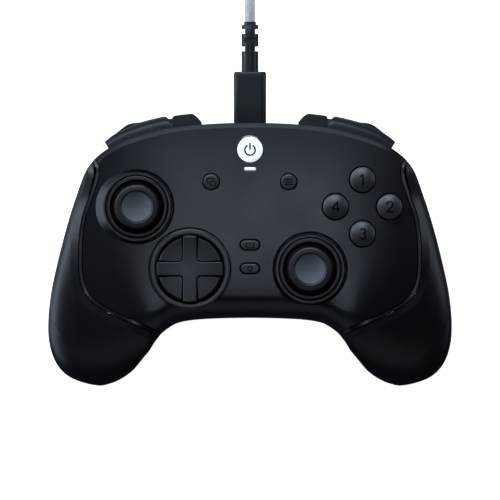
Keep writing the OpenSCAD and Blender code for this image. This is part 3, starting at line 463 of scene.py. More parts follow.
class Value:
    """Output of a material's node that takes part in sums."""

    def __init__(self, graph: Graph, socket: bpy.types.NodeSocket) -> None:
        """Keeps the socket and the graph that it is in."""
        self.graph, self.socket = graph, socket

    def _sum(self, operation: str, *others: Number) -> Value:
        """Adds one Math node."""
        return self.graph.node("ShaderNodeMath", {"operation": operation}, dict(enumerate((self, *others))))

    def __add__(self, other: Number) -> Value:
        """Sum."""
        return self._sum("ADD", other)

    __radd__ = __add__

    def __mul__(self, other: Number) -> Value:
        """Product."""
        return self._sum("MULTIPLY", other)

    __rmul__ = __mul__

    def __sub__(self, other: Number) -> Value:
        """Difference."""
        return self._sum("SUBTRACT", other)

    def __rsub__(self, other: Number) -> Value:
        """Difference from a number."""
        return (self * -1.0) + other

    def wave(self) -> Value:
        """Sine."""
        return self._sum("SINE")

    def size(self) -> Value:
        """Absolute value."""
        return self._sum("ABSOLUTE")

    def above(self, low: float, high: float) -> Value:
        """Smooth step from 0 at low to 1 at high."""
        return self.graph.node("ShaderNodeMapRange", {"interpolation_type": "SMOOTHSTEP"},
                               {"Value": self, "From Min": low, "From Max": high})


Number = Union[Value, float, int]


class Graph:
    """Node tree of one material."""

    def __init__(self, name: str) -> None:
        """Makes an empty material.

        Args:
            name: Its name.
        """
        self.material = bpy.data.materials.new(name)
        self.material.use_nodes = True
        self._tree = self.material.node_tree
        self._tree.nodes.clear()
        self._output = self._tree.nodes.new("ShaderNodeOutputMaterial")

    def node(self, kind: str, settings: Mapping[str, Any] | None = None,
             sockets: Mapping[Union[str, int], Any] | None = None, out: Union[str, int] = 0) -> Value:
        """Adds a node.

        Args:
            kind: Type of the node.
            settings: Its settings, which are set first.
            sockets: Values or links of its inputs, by name or number.
            out: Output that is given back, by name or number.

        Returns:
            That output.
        """
        new = self._tree.nodes.new(kind)
        for key, value in (settings or {}).items():
            setattr(new, key, value)
        for key, value in (sockets or {}).items():
            if isinstance(value, Value):
                self._tree.links.new(value.socket, new.inputs[key])
            else:
                new.inputs[key].default_value = value
        return Value(self, new.outputs[out])

    def place(self) -> Value:
        """Coordinates of the object, in metres."""
        return self.node("ShaderNodeTexCoord", out="Object")

    def noise(self, grain: float, detail: float = 2.0, place: Value | None = None) -> Value:
        """Soft noise round one half, its grains in millimetres, on the object's coordinates or others."""
        return self.node("ShaderNodeTexNoise", None, {
            "Vector": place or self.place(), "Scale": 1 / (grain * MM), "Detail": detail})

    def tint(self, share: Value, a: Colour, b: Colour) -> Value:
        """Colour a share of the way from a to b."""
        return self.node("ShaderNodeMix", {"data_type": "RGBA"}, {0: share, 6: (*a, 1), 7: (*b, 1)}, 2)

    def bump(self, height: Value, depth: float) -> Value:
        """Normal of a relief whose height runs from 0 to 1, with its depth in millimetres."""
        return self.node("ShaderNodeBump", None, {"Height": height, "Distance": depth * MM, "Strength": 1.0})

    def finish(self, **sockets: Any) -> bpy.types.Material:
        """Closes the tree with its shader.

        Args:
            **sockets: The shader's inputs, with _ for each space in a name.

        Returns:
            The material.
        """
        named = {key.replace("_", " "): value for key, value in sockets.items()}
        shader = self.node("ShaderNodeBsdfPrincipled", None, named)
        self._tree.links.new(shader.socket, self._output.inputs["Surface"])
        return self.material


@dataclass(frozen=True)
class Moulded:
    """Moulded plastic or rubber with a fine grain."""

    name: str
    dark: Colour
    light: Colour
    roughness: float
    grain: float
    depth: float
    specular: float = 0.5
    cloud_size: float = 60.0
    speck_size: float = 1.6
    cloud_share: float = 0.3
    cloud_rough: float = 0.08
    fine_rough: float = 0.1

    def material(self) -> bpy.types.Material:
        """Makes the material.

        Returns:
            The material.
        """
        g = Graph(self.name)
        fine = g.noise(self.grain, 3.0)
        cloud = g.noise(self.grain * self.cloud_size, 2.0)
        speck = g.noise(self.grain * self.speck_size, 1.0).above(0.3, 0.72)
        tone = g.tint(speck * (1 - self.cloud_share) + cloud * self.cloud_share, self.dark, self.light)
        rough = (cloud - 0.5) * self.cloud_rough + (fine - 0.5) * self.fine_rough + self.roughness
        return g.finish(Base_Color=tone, Roughness=rough, Specular_IOR_Level=self.specular,
                        Normal=g.bump(fine, self.depth))


@dataclass(frozen=True)
class Satin:
    """Smooth plastic of the keys, with the faint haze of handling."""

    name: str
    dark: Colour
    light: Colour
    roughness: float
    specular: float = 0.5
    ior: float = 1.5
    haze_size: float = 6.0
    grain: float = 0.18
    depth: float = 0.004
    haze_rough: float = 0.14
    fine_rough: float = 0.06

    def material(self) -> bpy.types.Material:
        """Makes the material.

        Returns:
            The material.
        """
        g = Graph(self.name)
        haze = g.noise(self.haze_size, 3.0)
        fine = g.noise(self.grain, 2.0)
        rough = (haze - 0.5) * self.haze_rough + (fine - 0.5) * self.fine_rough + self.roughness
        return g.finish(Base_Color=g.tint(haze, self.dark, self.light), Roughness=rough,
                        Specular_IOR_Level=self.specular, IOR=self.ior, Normal=g.bump(fine, self.depth))


@dataclass(frozen=True)
class Lit:
    """White plastic with a lamp behind it."""

    name: str
    colour: Colour
    glow: float

    def material(self) -> bpy.types.Material:
        """Makes the material.

        Returns:
            The material.
        """
        g = Graph(self.name)
        cloud = g.noise(2.5, 2.0)
        shade = tuple(c * 0.94 for c in self.colour)
        return g.finish(Base_Color=g.tint(cloud, shade, self.colour), Roughness=(cloud - 0.5) * 0.1 + 0.4,
                        Emission_Color=g.tint(cloud, shade, self.colour), Emission_Strength=self.glow)


@dataclass(frozen=True)
class Metal:
    """Drawn or turned metal with fine lines."""

    name: str
    colour: Colour
    roughness: float

    def material(self) -> bpy.types.Material:
        """Makes the material.

        Returns:
            The material.
        """
        g = Graph(self.name)
        stretch = g.node("ShaderNodeMapping", None, {"Vector": g.place(), "Scale": (1.0, 0.06, 1.0)})
        lines = g.noise(0.12, 3.0, stretch)
        dull = tuple(c * 0.82 for c in self.colour)
        return g.finish(Base_Color=g.tint(lines, dull, self.colour), Metallic=1.0,
                        Roughness=(lines - 0.5) * 0.2 + self.roughness, Normal=g.bump(lines, 0.004))


@dataclass(frozen=True)
class CircuitBoard:
    """Green lacquer over copper tracks, its tones kept near black as painted shade where the board shows
    through gaps.
    """

    name: str = "board_lacquer"

    def material(self) -> bpy.types.Material:
        """Makes the material.

        Returns:
            The material.
        """
        g = Graph(self.name)
        cells = g.node("ShaderNodeTexVoronoi", {"feature": "DISTANCE_TO_EDGE"},
                       {"Vector": g.place(), "Scale": 260.0})
        track = 1 - cells.above(0.02, 0.07)
        # The near-black tones are painted shade for the board seen through the gaps
        return g.finish(Base_Color=g.tint(track, (0.003, 0.006, 0.005), (0.006, 0.012, 0.009)),
                        Roughness=track * 0.1 + 0.3, Normal=g.bump(track, 0.03))


@dataclass(frozen=True)
class Braid:
    """Woven sleeve of the cord, in its own coordinates round and along the cord."""

    name: str
    dark: Colour
    light: Colour
    strands: int = 12
    pitch: float = 9.0

    def material(self) -> bpy.types.Material:
        """Makes the material.

        Returns:
            The material.
        """
        g = Graph(self.name)
        uv = g.node("ShaderNodeUVMap", {"uv_map": CORD_MAP})
        split = g.node("ShaderNodeSeparateXYZ", None, {0: uv})
        around = split * (2 * math.pi * self.strands)
        along = Value(g, split.socket.node.outputs[1]) * (2 * math.pi * self.strands / (self.pitch * MM))
        right = (around + along).wave()
        left = (around - along).wave()
        over = (around * 2).wave().above(-0.3, 0.3)
        weave = right.size() * over + left.size() * (1 - over)
        fleck = g.noise(0.5, 2.0).above(0.42, 0.62)
        return g.finish(Base_Color=g.tint(weave * 0.55 + fleck * 0.45, self.dark, self.light),
                        Roughness=weave * -0.15 + 0.8, Sheen_Weight=0.3, Normal=g.bump(weave, 0.18))


class Finishes:
    """The materials of the pad, made once."""

    def __init__(self) -> None:
        """Makes every material."""
        black: Colour = (0.0035, 0.0043, 0.0058)
        soot: Colour = (0.0068, 0.0082, 0.0102)
        self.face = Moulded("face_plastic", black, soot, 0.3, 0.3, 0.012).material()
        self.grip = Moulded("grip_rubber", (0.001, 0.0013, 0.0021), (0.0021, 0.0026, 0.0038), 0.38, 0.22,
                            0.008).material()
        self.rear = Moulded("rear_plastic", black, soot, 0.5, 0.4, 0.02).material()
        self.key = Satin("key_plastic", (0.009, 0.0098, 0.0105), (0.014, 0.0152, 0.016), 0.48,
                         ior=1.72).material()
        self.pad = Satin("pad_plastic", (0.008, 0.009, 0.0105), (0.014, 0.0155, 0.0175), 0.38,
                         ior=1.6).material()
        self.shoulder = Satin("shoulder_plastic", (0.007, 0.008, 0.0095), (0.012, 0.0135, 0.0155), 0.41,
                              0.4).material()
        self.stick = Moulded("stick_rubber", (0.006, 0.0065, 0.0075), (0.012, 0.013, 0.0145), 0.42, 0.15,
                             0.006).material()
        self.dish = Moulded("dish_rubber", (0.092, 0.1, 0.104), (0.13, 0.139, 0.143), 0.62, 0.15, 0.006,
                            0.3).material()
        self.ring = Satin("ring_plastic", (0.008, 0.0088, 0.01), (0.013, 0.0142, 0.016), 0.37,
                          0.6).material()
        # Black print ink for the signs, also used as painted shade on the sticks' domes
        self.mark = Satin("mark_ink", (0.001, 0.0011, 0.0014), (0.002, 0.0021, 0.0024), 0.5, 0.06).material()
        self.lit = Lit("lit_white", (0.95, 0.99, 0.99), 0.52).material()
        self.metal = Metal("drawn_steel", (0.6, 0.6, 0.62), 0.32).material()
        self.dull = Metal("blackened_steel", (0.08, 0.08, 0.085), 0.4).material()
        self.board = CircuitBoard().material()
        self.cord = Braid("cord_sleeve", (0.46, 0.45, 0.44), (0.93, 0.92, 0.9)).material()


# Body


@dataclass(frozen=True)
class PadForm:
    """Plan and heights of the body, which its shells, grips and shoulder keys follow."""

    face_z: float = 52.0
    belly_z: float = 20.0
    wall: float = 2.2
    part_top_z: float = 39.2
    part_low_z: float = 33.0
    tip_z: float = 16.0
    edge_r: float = 1.9
    lip_r: float = 9.0
    low_edge_r: float = 8.0
    low_lip_r: float = 10.0
    low_edge_h: float = 13.0
    rim_h: float = 1.5
    seam_gap: float = 0.4
    chamfer_power: float = 1.9
    grip_arch: float = 10.0
    arch_reach: float = 5.0
    spread_reach: float = 8.5
    least_r: float = 0.6
    most_share: float = 0.48
    flat_half_w: float = 25.0
    side_reach: float = 39.0
    side_fall: float = 2.1
    side_power: float = 2.6
    flat_y: float = 23.0
    top_reach: float = 25.0
    top_fall: float = 0.5
    low_y: float = 8.0
    low_reach: float = 27.0
    low_fall: float = 0.75
    low_half_w: float = 20.0
    low_blend: float = 25.0
    low_ease: float = 0.8
    fall_z: Point = (40.0, 49.0)
    grip_start: float = 4.0
    belly_end: float = 5.0
    foot_station: float = 11.0
    foot_sink: float = 0.5
    outer_end: float = 13.8
    cavity_end: float = 12.85
    block_y: float = 110.0
    block_z: Point = (-2.0, 70.0)
    steps: int = 150
    round_steps: int = 11
    flat_steps: int = 22
    # Edge on the lead's side, from the middle to the end of a grip
    outer_points: tuple[Point, ...] = (
        (0, 50.3), (15, 49.9), (30, 48.5), (44, 45.1), (56, 40.2), (64, 32.8), (68.8, 21), (72.6, 9),
        (76, -4), (78.8, -17), (80, -29), (79.3, -38.5), (76.2, -46.2), (70.5, -51.2), (61, -53.9))
    # Edge on the player's side, from the middle to the end of a grip
    inner_points: tuple[Point, ...] = (
        (0, -26.9), (12, -27.1), (22, -27.7), (28.5, -28.9), (32.5, -31.1), (35, -33.1), (36.6, -35),
        (38.2, -37.2), (39.8, -39.8), (41.6, -42), (43.8, -44.7), (46.8, -48.1), (51, -51.1),
        (55.5, -53.1), (61, -53.9))
    # Line where the right grip meets the face, from the shoulder to the player's side
    seam_points: tuple[Point, ...] = (
        (63, 36.5), (61, 31), (63.4, 21.8), (66.6, 12), (67.8, 0), (67.2, -12), (63.2, -20),
        (54, -25.8), (46.1, -29.2), (38.1, -33), (33.6, -36.4))

    def outer(self, u: Array) -> Array:
        """Points of the outer edge at given stations."""
        p = self.outer_points
        return spline(p, u, (-p[1][0], p[1][1]), self.inner_points[-2])

    def inner(self, u: Array) -> Array:
        """Points of the inner edge at given stations."""
        p = self.inner_points
        return spline(p, u, (-p[1][0], p[1][1]), self.outer_points[-2])

    def edge(self, u: Array) -> tuple[Array, Array]:
        """Finds the outer edge at given stations.

        Args:
            u: The stations.

        Returns:
            Its points and the directions that point out of it.
        """
        run = self.outer(u + 0.05) - self.outer(u - 0.05)
        run /= np.linalg.norm(run, axis=1)[:, None]
        return self.outer(u), beside(-run[:, 1], run[:, 0])

    def seam(self, steps: int = 180) -> Array:
        """Points of the right grip's seam in plan."""
        p = self.seam_points
        return spline(p, np.linspace(0, len(p) - 1, steps), p[0], p[-1])

    def _share(self, u: Array) -> Array:
        """How far a station lies along the grip, from 0 to 1."""
        last = len(self.outer_points) - 1
        return np.maximum(0, (u - self.grip_start) / (last - self.grip_start))

    def _crown(self, u: Array, half: Half) -> Array:
        """Finds how high the face or the underside is.

        Args:
            u: Stations along the body.
            half: Which half.

        Returns:
            Height at each station.
        """
        share = self._share(u)
        if half is Half.UPPER:
            return between(self.face_z, self.tip_z + self.rim_h, share**3)
        foot, last = self.foot_station, len(self.outer_points) - 1
        fall = between(self.belly_z, -self.foot_sink, ease((u - self.belly_end) / (foot - self.belly_end)))
        rise = self.tip_z - self.rim_h + self.foot_sink
        return fall + rise * np.maximum(0, (u - foot) / (last - foot)) ** 3

    def crowned(self, points: Array) -> Array:
        """Points lowered as the face falls away to its sides, to the lead and to the player.

        Args:
            points: Points of the upper half, as on a flat face.

        Returns:
            The lowered points.
        """
        x, y, z = np.moveaxis(points, -1, 0)
        t = np.maximum(0, (np.abs(x) - self.flat_half_w) / self.side_reach)
        past = np.clip(t - 1, 0, self.side_power / 8)
        fall = self.side_fall * (np.minimum(t, 1) ** self.side_power + self.side_power * past - 4 * past**2)
        fall += self.top_fall * np.maximum(0, (y - self.flat_y) / self.top_reach) ** 2
        near = np.maximum(0, (self.low_y - y) / self.low_reach)
        middle = 1 - self.low_ease * ease((np.abs(x) - self.low_half_w) / self.low_blend)
        fall += self.low_fall * middle * np.where(near < 1, near**2, 2 * near - 1)
        low, high = self.fall_z
        return np.stack([x, y, z - fall * np.clip((z - low) / (high - low), 0, 1)], -1)

    def surface(self, half: Half, inset: float = 0.0) -> Array:
        """Grid of points over the upper or lower half.

        Args:
            half: Which half.
            inset: How far the surface is moved inwards.

        Returns:
            Array of cuts from the left grip to the right, each from the outer to the inner edge.
        """
        side, upper = half.value, half is Half.UPPER
        reach = self.cavity_end if inset else self.outer_end
        s = np.linspace(-reach, reach, 2 * self.steps + 1)
        u = np.abs(s)
        start, stop = self.outer(u), self.inner(u)
        along = stop - start
        whole = np.linalg.norm(along, axis=1)
        along /= whole[:, None]
        span = whole - 2 * inset
        full, spread = (ease((u - self.grip_start) / far) for far in (self.arch_reach, self.spread_reach))
        crown = self._crown(u, half) - side * inset
        share, gap = ease(self._share(u)), side * self.seam_gap / 2
        rims = [between(z, self.tip_z, share) + gap for z in (self.part_top_z, self.part_low_z)]

        def rounding(rim: Array, radius: float, height: float) -> tuple[Array, Array]:
            """Sizes the rounding along one edge.

            Args:
                rim: Heights of the edge.
                radius: Width away from the grips.
                height: Height away from the grips.

            Returns:
                Its widths and heights.
            """
            tall = np.abs(crown - rim) - self.rim_h
            wide = between(max(radius - inset, self.least_r), span / 2, spread)
            arch = np.minimum(tall, self.grip_arch) if upper else tall
            return np.minimum(wide, span * self.most_share), between(np.minimum(height, tall), arch, full)

        edge_r, edge_h = (self.edge_r, self.edge_r * 0.95) if upper else (self.low_edge_r, self.low_edge_h)
        r_o, e_o = rounding(rims[0], edge_r, edge_h)
        r_i, e_i = rounding(rims[1], self.lip_r if upper else self.low_lip_r, self.lip_r * 1.3)
        power = between(self.chamfer_power if upper and not inset else 1.0, 1.0, full)
        turns = np.linspace(0, math.pi / 2, self.round_steps + 1)
        cols = [(np.zeros_like(u), rims[0])]
        cols += [(r_o * (1 - abs(math.cos(a)) ** power), crown - side * e_o * (1 - math.sin(a) ** power))
                 for a in turns]
        cols += [(between(r_o, span - r_i, k / self.flat_steps), crown) for k in range(1, self.flat_steps)]
        cols += [(span - r_i * (1 - math.cos(a)), crown - side * e_i * (1 - math.sin(a)))
                 for a in turns[::-1]]
        cols.append((span, rims[1]))
        grid = [beside(start + along * (x + inset)[:, None], z) for x, z in cols]
        points = np.stack(grid, 1)
        points[s < 0, :, 0] *= -1
        return self.crowned(points) if upper else points

    def shell(self, half: Half) -> Solid:
        """Closed shell of one half, with its wall.

        Args:
            half: Which half.

        Returns:
            The shell.
        """
        out, room = self.surface(half), self.surface(half, self.wall)
        n, m = out.shape[:2]
        b, last = n * m, (n - 1) * m
        quads = grid_faces(n, m)
        faces = quads + [tuple(k + b for k in q) for q in quads]
        for j in (0, m - 1):
            faces += [(i * m + j, i * m + m + j, i * m + m + j + b, i * m + j + b) for i in range(n - 1)]
        for first in (0, last):
            faces += [tuple(range(first, first + m)), tuple(range(first + b, first + m + b)),
                      (first, first + m - 1, first + m - 1 + b, first + b)]
        return Solid().add(np.vstack([out.reshape(-1, 3), room.reshape(-1, 3)]), faces)

    def between_grips(self, grow: float) -> Solid:
        """Block that holds everything between the two grips.

        Args:
            grow: How far it reaches past each seam.

        Returns:
            The block.
        """
        seam = self.seam()
        right = seam + plan_normals(seam, False) * -grow
        right = np.vstack([[right[0, 0] + 2, self.block_y], right, [right[-1, 0], -self.block_y]])
        outline = np.vstack([right, (right * [-1, 1])[::-1]])[::-1]
        return Solid().prism(outline, [(0, z) for z in self.block_z])


class Heights:
    """Looks up the height of a surface over the plan."""

    def __init__(self, grid: Array) -> None:
        """Keeps a search tree of a surface's points, given in rows."""
        corners = [Vector(p) for p in grid.reshape(-1, 3)]
        self._tree = BVHTree.FromPolygons(corners, grid_faces(*grid.shape[:2]))

    def along(self, line: Array) -> Array:
        """Finds heights under a line, carried on where the line leaves the surface.

        Args:
            line: Points in plan.

        Returns:
            A height for each point.
        """
        hits = [self._tree.ray_cast(Vector((x, y, 200)), Vector((0, 0, -1)))[0] for x, y in line]
        z = np.array([np.nan if h is None else h.z for h in hits])
        known = np.flatnonzero(~np.isnan(z))
        return np.interp(np.arange(len(z)), known, z[known])


@dataclass
class Shoulders:
    """Bumpers, inner shoulder keys and triggers."""

    form: PadForm
    gap: float = 0.35
    bumper_span: Point = (2.06, 4.0)
    claw_span: Point = (1.27, 2.0)
    bumper_low: float = 40.3
    bumper_high: float = 49.2
    claw_low: float = 40.5
    claw_high: float = 46.1
    bumper_out: float = 5.0
    claw_out: float = 4.6
    bumper_room: Point = (-7.35, 0.09)
    claw_room: Point = (-6.35, 0.035)
    room_lead: float = 0.035
    room_out: float = 10.0
    trigger_station: float = 3.02
    trigger_w: float = 25.0
    axle: Point = (-9.0, 32.7)
    axle_r: float = 1.56

    def _sweep(self, span: Point, profile: Sequence[Point], ends: Callable[[Array], Array], side: Side,
               steps: int) -> Solid:
        """Shape that follows the body's edge.

        Args:
            span: First and last station.
            profile: Distance out of the edge and height, round the section.
            ends: How much of the distance is kept along the span.
            side: Which hand.
            steps: Cuts along the span.

        Returns:
            The shape.
        """
        t = (1 - np.cos(np.linspace(0, math.pi, steps))) / 2
        edge, out = self.form.edge(between(span[0], span[1], t))
        keep = ends(t)
        rings = []
        for n, z in profile:
            q = edge + out * (n * keep if n > 0 else np.full_like(keep, n))[:, None]
            rings.append(beside(q[:, 0] * side.value, q[:, 1], np.full(len(q), z)))
        return Solid().loft(np.stack(rings, 1)).moved(self.form.crowned)

    def rooms(self, side: Side) -> list[Solid]:
        """Spaces in the face for the bumper and the inner key of one hand.

        Args:
            side: Which hand.

        Returns:
            The spaces.
        """
        rooms = []
        for (a, b), low, high, (back, far) in (
                (self.bumper_span, self.bumper_low, self.bumper_high, self.bumper_room),
                (self.claw_span, self.claw_low, self.claw_high, self.claw_room)):
            low, high, out = low - self.gap, high + self.gap, self.room_out
            section = [(back, low), (out, low), (out, high), (back, high)]
            rooms.append(self._sweep((a - self.room_lead, b + far), section, np.ones_like, side, 40))
        return rooms

    def bumper(self, side: Side) -> Object:
        """Bumper with a ridge along its front.

        Args:
            side: Which hand.

        Returns:
            The piece.
        """
        low, high, out = self.bumper_low, self.bumper_high, self.bumper_out
        foot = [(1.2, 0), (0.5, 0.35), (0.12, 1.2), (0, 2.4)]
        shelf = [(0, 2.0), (0.06, 1.5), (0.22, 1.2), (0.5, 1.06), (0.9, 1.0), (1.75, 0.96)]
        ridge = [(2.0, 0.9), (2.35, 0.79), (2.8, 0.63), (3.1, 0.55), (3.6, 0.47), (4.7, 0.36)]
        profile = [(-5, low), *((out - a, low + b) for a, b in foot)]
        profile += [*((out - a, high - b) for a, b in shelf + ridge), (-5, high)]

        def ends(t: Array) -> Array:
            """The bumper runs into the shoulder at one end and is cut short at the other."""
            return 1 - 0.42 * np.maximum(0, (t - 0.35) / 0.65) ** 2 - 0.5 * np.maximum(0, 1 - t / 0.08) ** 2

        return self._sweep(self.bumper_span, profile, ends, side, 90).piece(f"{side.word}_bumper_looks", 28)

    def claw(self, side: Side) -> Object:
        """Inner shoulder key with a flat top.

        Args:
            side: Which hand.

        Returns:
            The piece.
        """
        low, high, out = self.claw_low, self.claw_high, self.claw_out
        profile = [(-4, low), (out - 0.7, low), (out - 0.2, low + 0.4), (out, low + 1.2), (out, high - 0.6),
                   (out - 0.08, high - 0.25), (out - 0.25, high - 0.06), (out - 0.5, high), (-4, high)]

        def ends(t: Array) -> Array:
            """The end next to the plug slopes in, and the other runs up to the bumper."""
            return 1 - 0.8 * np.maximum(0, 1 - t / 0.34) ** 1.6 - 0.12 * np.maximum(0, (t - 0.9) / 0.1) ** 2

        return self._sweep(self.claw_span, profile, ends, side, 60).piece(f"{side.word}_claw_looks", 28)

    def bridge(self, side: Side) -> Solid:
        """Web of the face under the joint between the bumper and the inner key.

        Args:
            side: Which hand.

        Returns:
            The web.
        """
        section = [(-3, 36.8), (3.4, 36.8), (3.7, 37.2), (3.7, 39.2), (3.4, 39.6), (-3, 39.6)]
        span = (self.claw_span[1] - 0.16, self.bumper_span[0] + 0.1)
        return self._sweep(span, section, np.ones_like, side, 12)

    def _to_pad(self, side: Side) -> Callable[[Array], Array]:
        """Takes points from a trigger's own frame to the pad's.

        Args:
            side: Which hand.

        Returns:
            Function that moves an array of points.
        """
        edge, out = self.form.edge(np.array([self.trigger_station]))
        n = out[0]
        across = np.array([n[1], -n[0]])

        def change(p: Array) -> Array:
            """Moves the points."""
            q = edge[0] + p[:, :1] * across + p[:, 1:2] * n
            return beside(q[:, 0] * side.value, q[:, 1], p[:, 2])

        return change

    def trigger_room(self, side: Side) -> Solid:
        """Space in both shells for one trigger.

        Args:
            side: Which hand.

        Returns:
            The space.
        """
        window = [(-14.2, 39), (9, 39), (9, -1), (-8, -1), (-8, 16), (-3, 17), (-2, 22.6), (-5.5, 26.6),
                  (-14.2, 28.6)]
        half = self.trigger_w / 2 + 0.5
        rings = [[(x, v, z) for v, z in window] for x in (-half, half)]
        return Solid().loft(np.array(rings)).moved(self._to_pad(side))

    def trigger(self, side: Side) -> Object:
        """Trigger with a hooked finger face.

        Args:
            side: Which hand.

        Returns:
            The piece.
        """
        outline = np.array([
            (-9, 36), (-5, 37.6), (-1, 38.2), (3.2, 37.8), (5.2, 35), (6, 30), (5.6, 22), (4.3, 13.6),
            (3.5, 8.4), (3.8, 5), (4.9, 2.8), (3.8, 2.7), (2.1, 4.4), (1, 7.4), (1.6, 13.6), (2.6, 21),
            (2.2, 27), (-3, 29.6), (-9, 29.5), (-11.4, 30.6), (-12.2, 32.8), (-11.4, 35)])
        cuts = np.array([
            (-0.5, 0.92, 0.52), (-0.47, 0.98, 0.58), (-0.3, 1, 0.72), (-0.1, 1, 0.84), (0, 1, 0.97),
            (0.08, 1, 1), (0.16, 1, 0.94), (0.26, 1, 0.76), (0.47, 0.98, 0.48), (0.5, 0.92, 0.42)])
        fine = closed_spline(outline, 3)
        hub = np.array(self.axle)
        x = np.concatenate([[-0.5, -0.49, -0.48], np.linspace(-0.47, 0.47, 40), [0.48, 0.49, 0.5]])
        size, bulge = np.interp(x, cuts[:, 0], cuts[:, 1]), np.interp(x, cuts[:, 0], cuts[:, 2])
        bulge = np.convolve(np.pad(bulge, 3, "edge"), np.ones(7) / 7, "valid")
        rings = []
        for place, grow, out in zip(x, size, bulge):
            q = fine.copy()
            q[:, 0] = np.where(q[:, 0] > 0, q[:, 0] * out, q[:, 0])
            q = hub + (q - hub) * grow
            rings.append(beside(np.full(len(q), place * self.trigger_w), q))
        obj = Solid().loft(np.stack(rings)).moved(self._to_pad(side)).piece(f"{side.word}_trigger_looks", 40)
        ring = hub + circle(self.axle_r, 40)
        bore = np.stack([beside(np.full(len(ring), end), ring) for end in (-15, 15)])
        shape(obj, Solid().loft(bore).moved(self._to_pad(side)), Cut.REMOVE, 40)
        return obj

    def build(self, finishes: Finishes) -> None:
        """Makes and dresses the shoulder pieces of both hands.

        Args:
            finishes: The materials.
        """
        parts = {"bumper": self.bumper, "claw_button": self.claw, "trigger": self.trigger}
        for side in Side:
            for part, make in parts.items():
                node = f"{side.word}_{part}"
                fit(make(side), node, "key", finishes.shoulder, node)


@dataclass(frozen=True)
class Layout:
    """Places and sizes of the controls on the face."""

    left_stick: Point = (-44.7, 17.1)
    right_stick: Point = (23.75, -7.5)
    collar_r: float = 12.4
    pad: Point = (-23.75, -7.4)
    pad_hole_r: float = 14.05
    keys: Point = (44.5, 17.1)
    key_out: float = 10.7
    key_r: float = 5.0
    home: Point = (0.0, 39.7)
    home_r: float = 5.0
    lit_gap: float = 0.62
    view: Point = (-15.3, 26.9)
    menu: Point = (15.3, 26.9)
    small_r: float = 3.0
    share: Point = (0.0, 2.0)
    profile: Point = (0.0, -7.3)
    pill: Point = (7.2, 3.65)
    lens_at: Point = (0.0, 32.1)
    lens: Point = (4.0, 1.25)
    gap: float = 0.35
    ring_gap: float = 0.45
    port_z: float = 39.3
    port: Point = (9.9, 4.1)
    jack_z: float = 40.4
    jack_r: float = 2.7
    back_at: tuple[Point, Point] = ((31.0, 8.2), (31.0, -9.8))
    back: Point = (15.0, 7.0)
    stop_at: Point = (17.0, 27.0)
    stop: Point = (6.0, 3.6)
    stop_travel: float = 4.0
    grip_screw: Point = (61.0, -37.0)
    top_screw: Point = (22.0, 37.5)

    def key_places(self) -> dict[str, Point]:
        """Middle of each face button by its name."""
        turns = {"top": 90, "right": 0, "bottom": 270, "left": 180}
        return {name: (self.keys[0] + self.key_out * math.cos(math.radians(a)),
                       self.keys[1] + self.key_out * math.sin(math.radians(a))) for name, a in turns.items()}


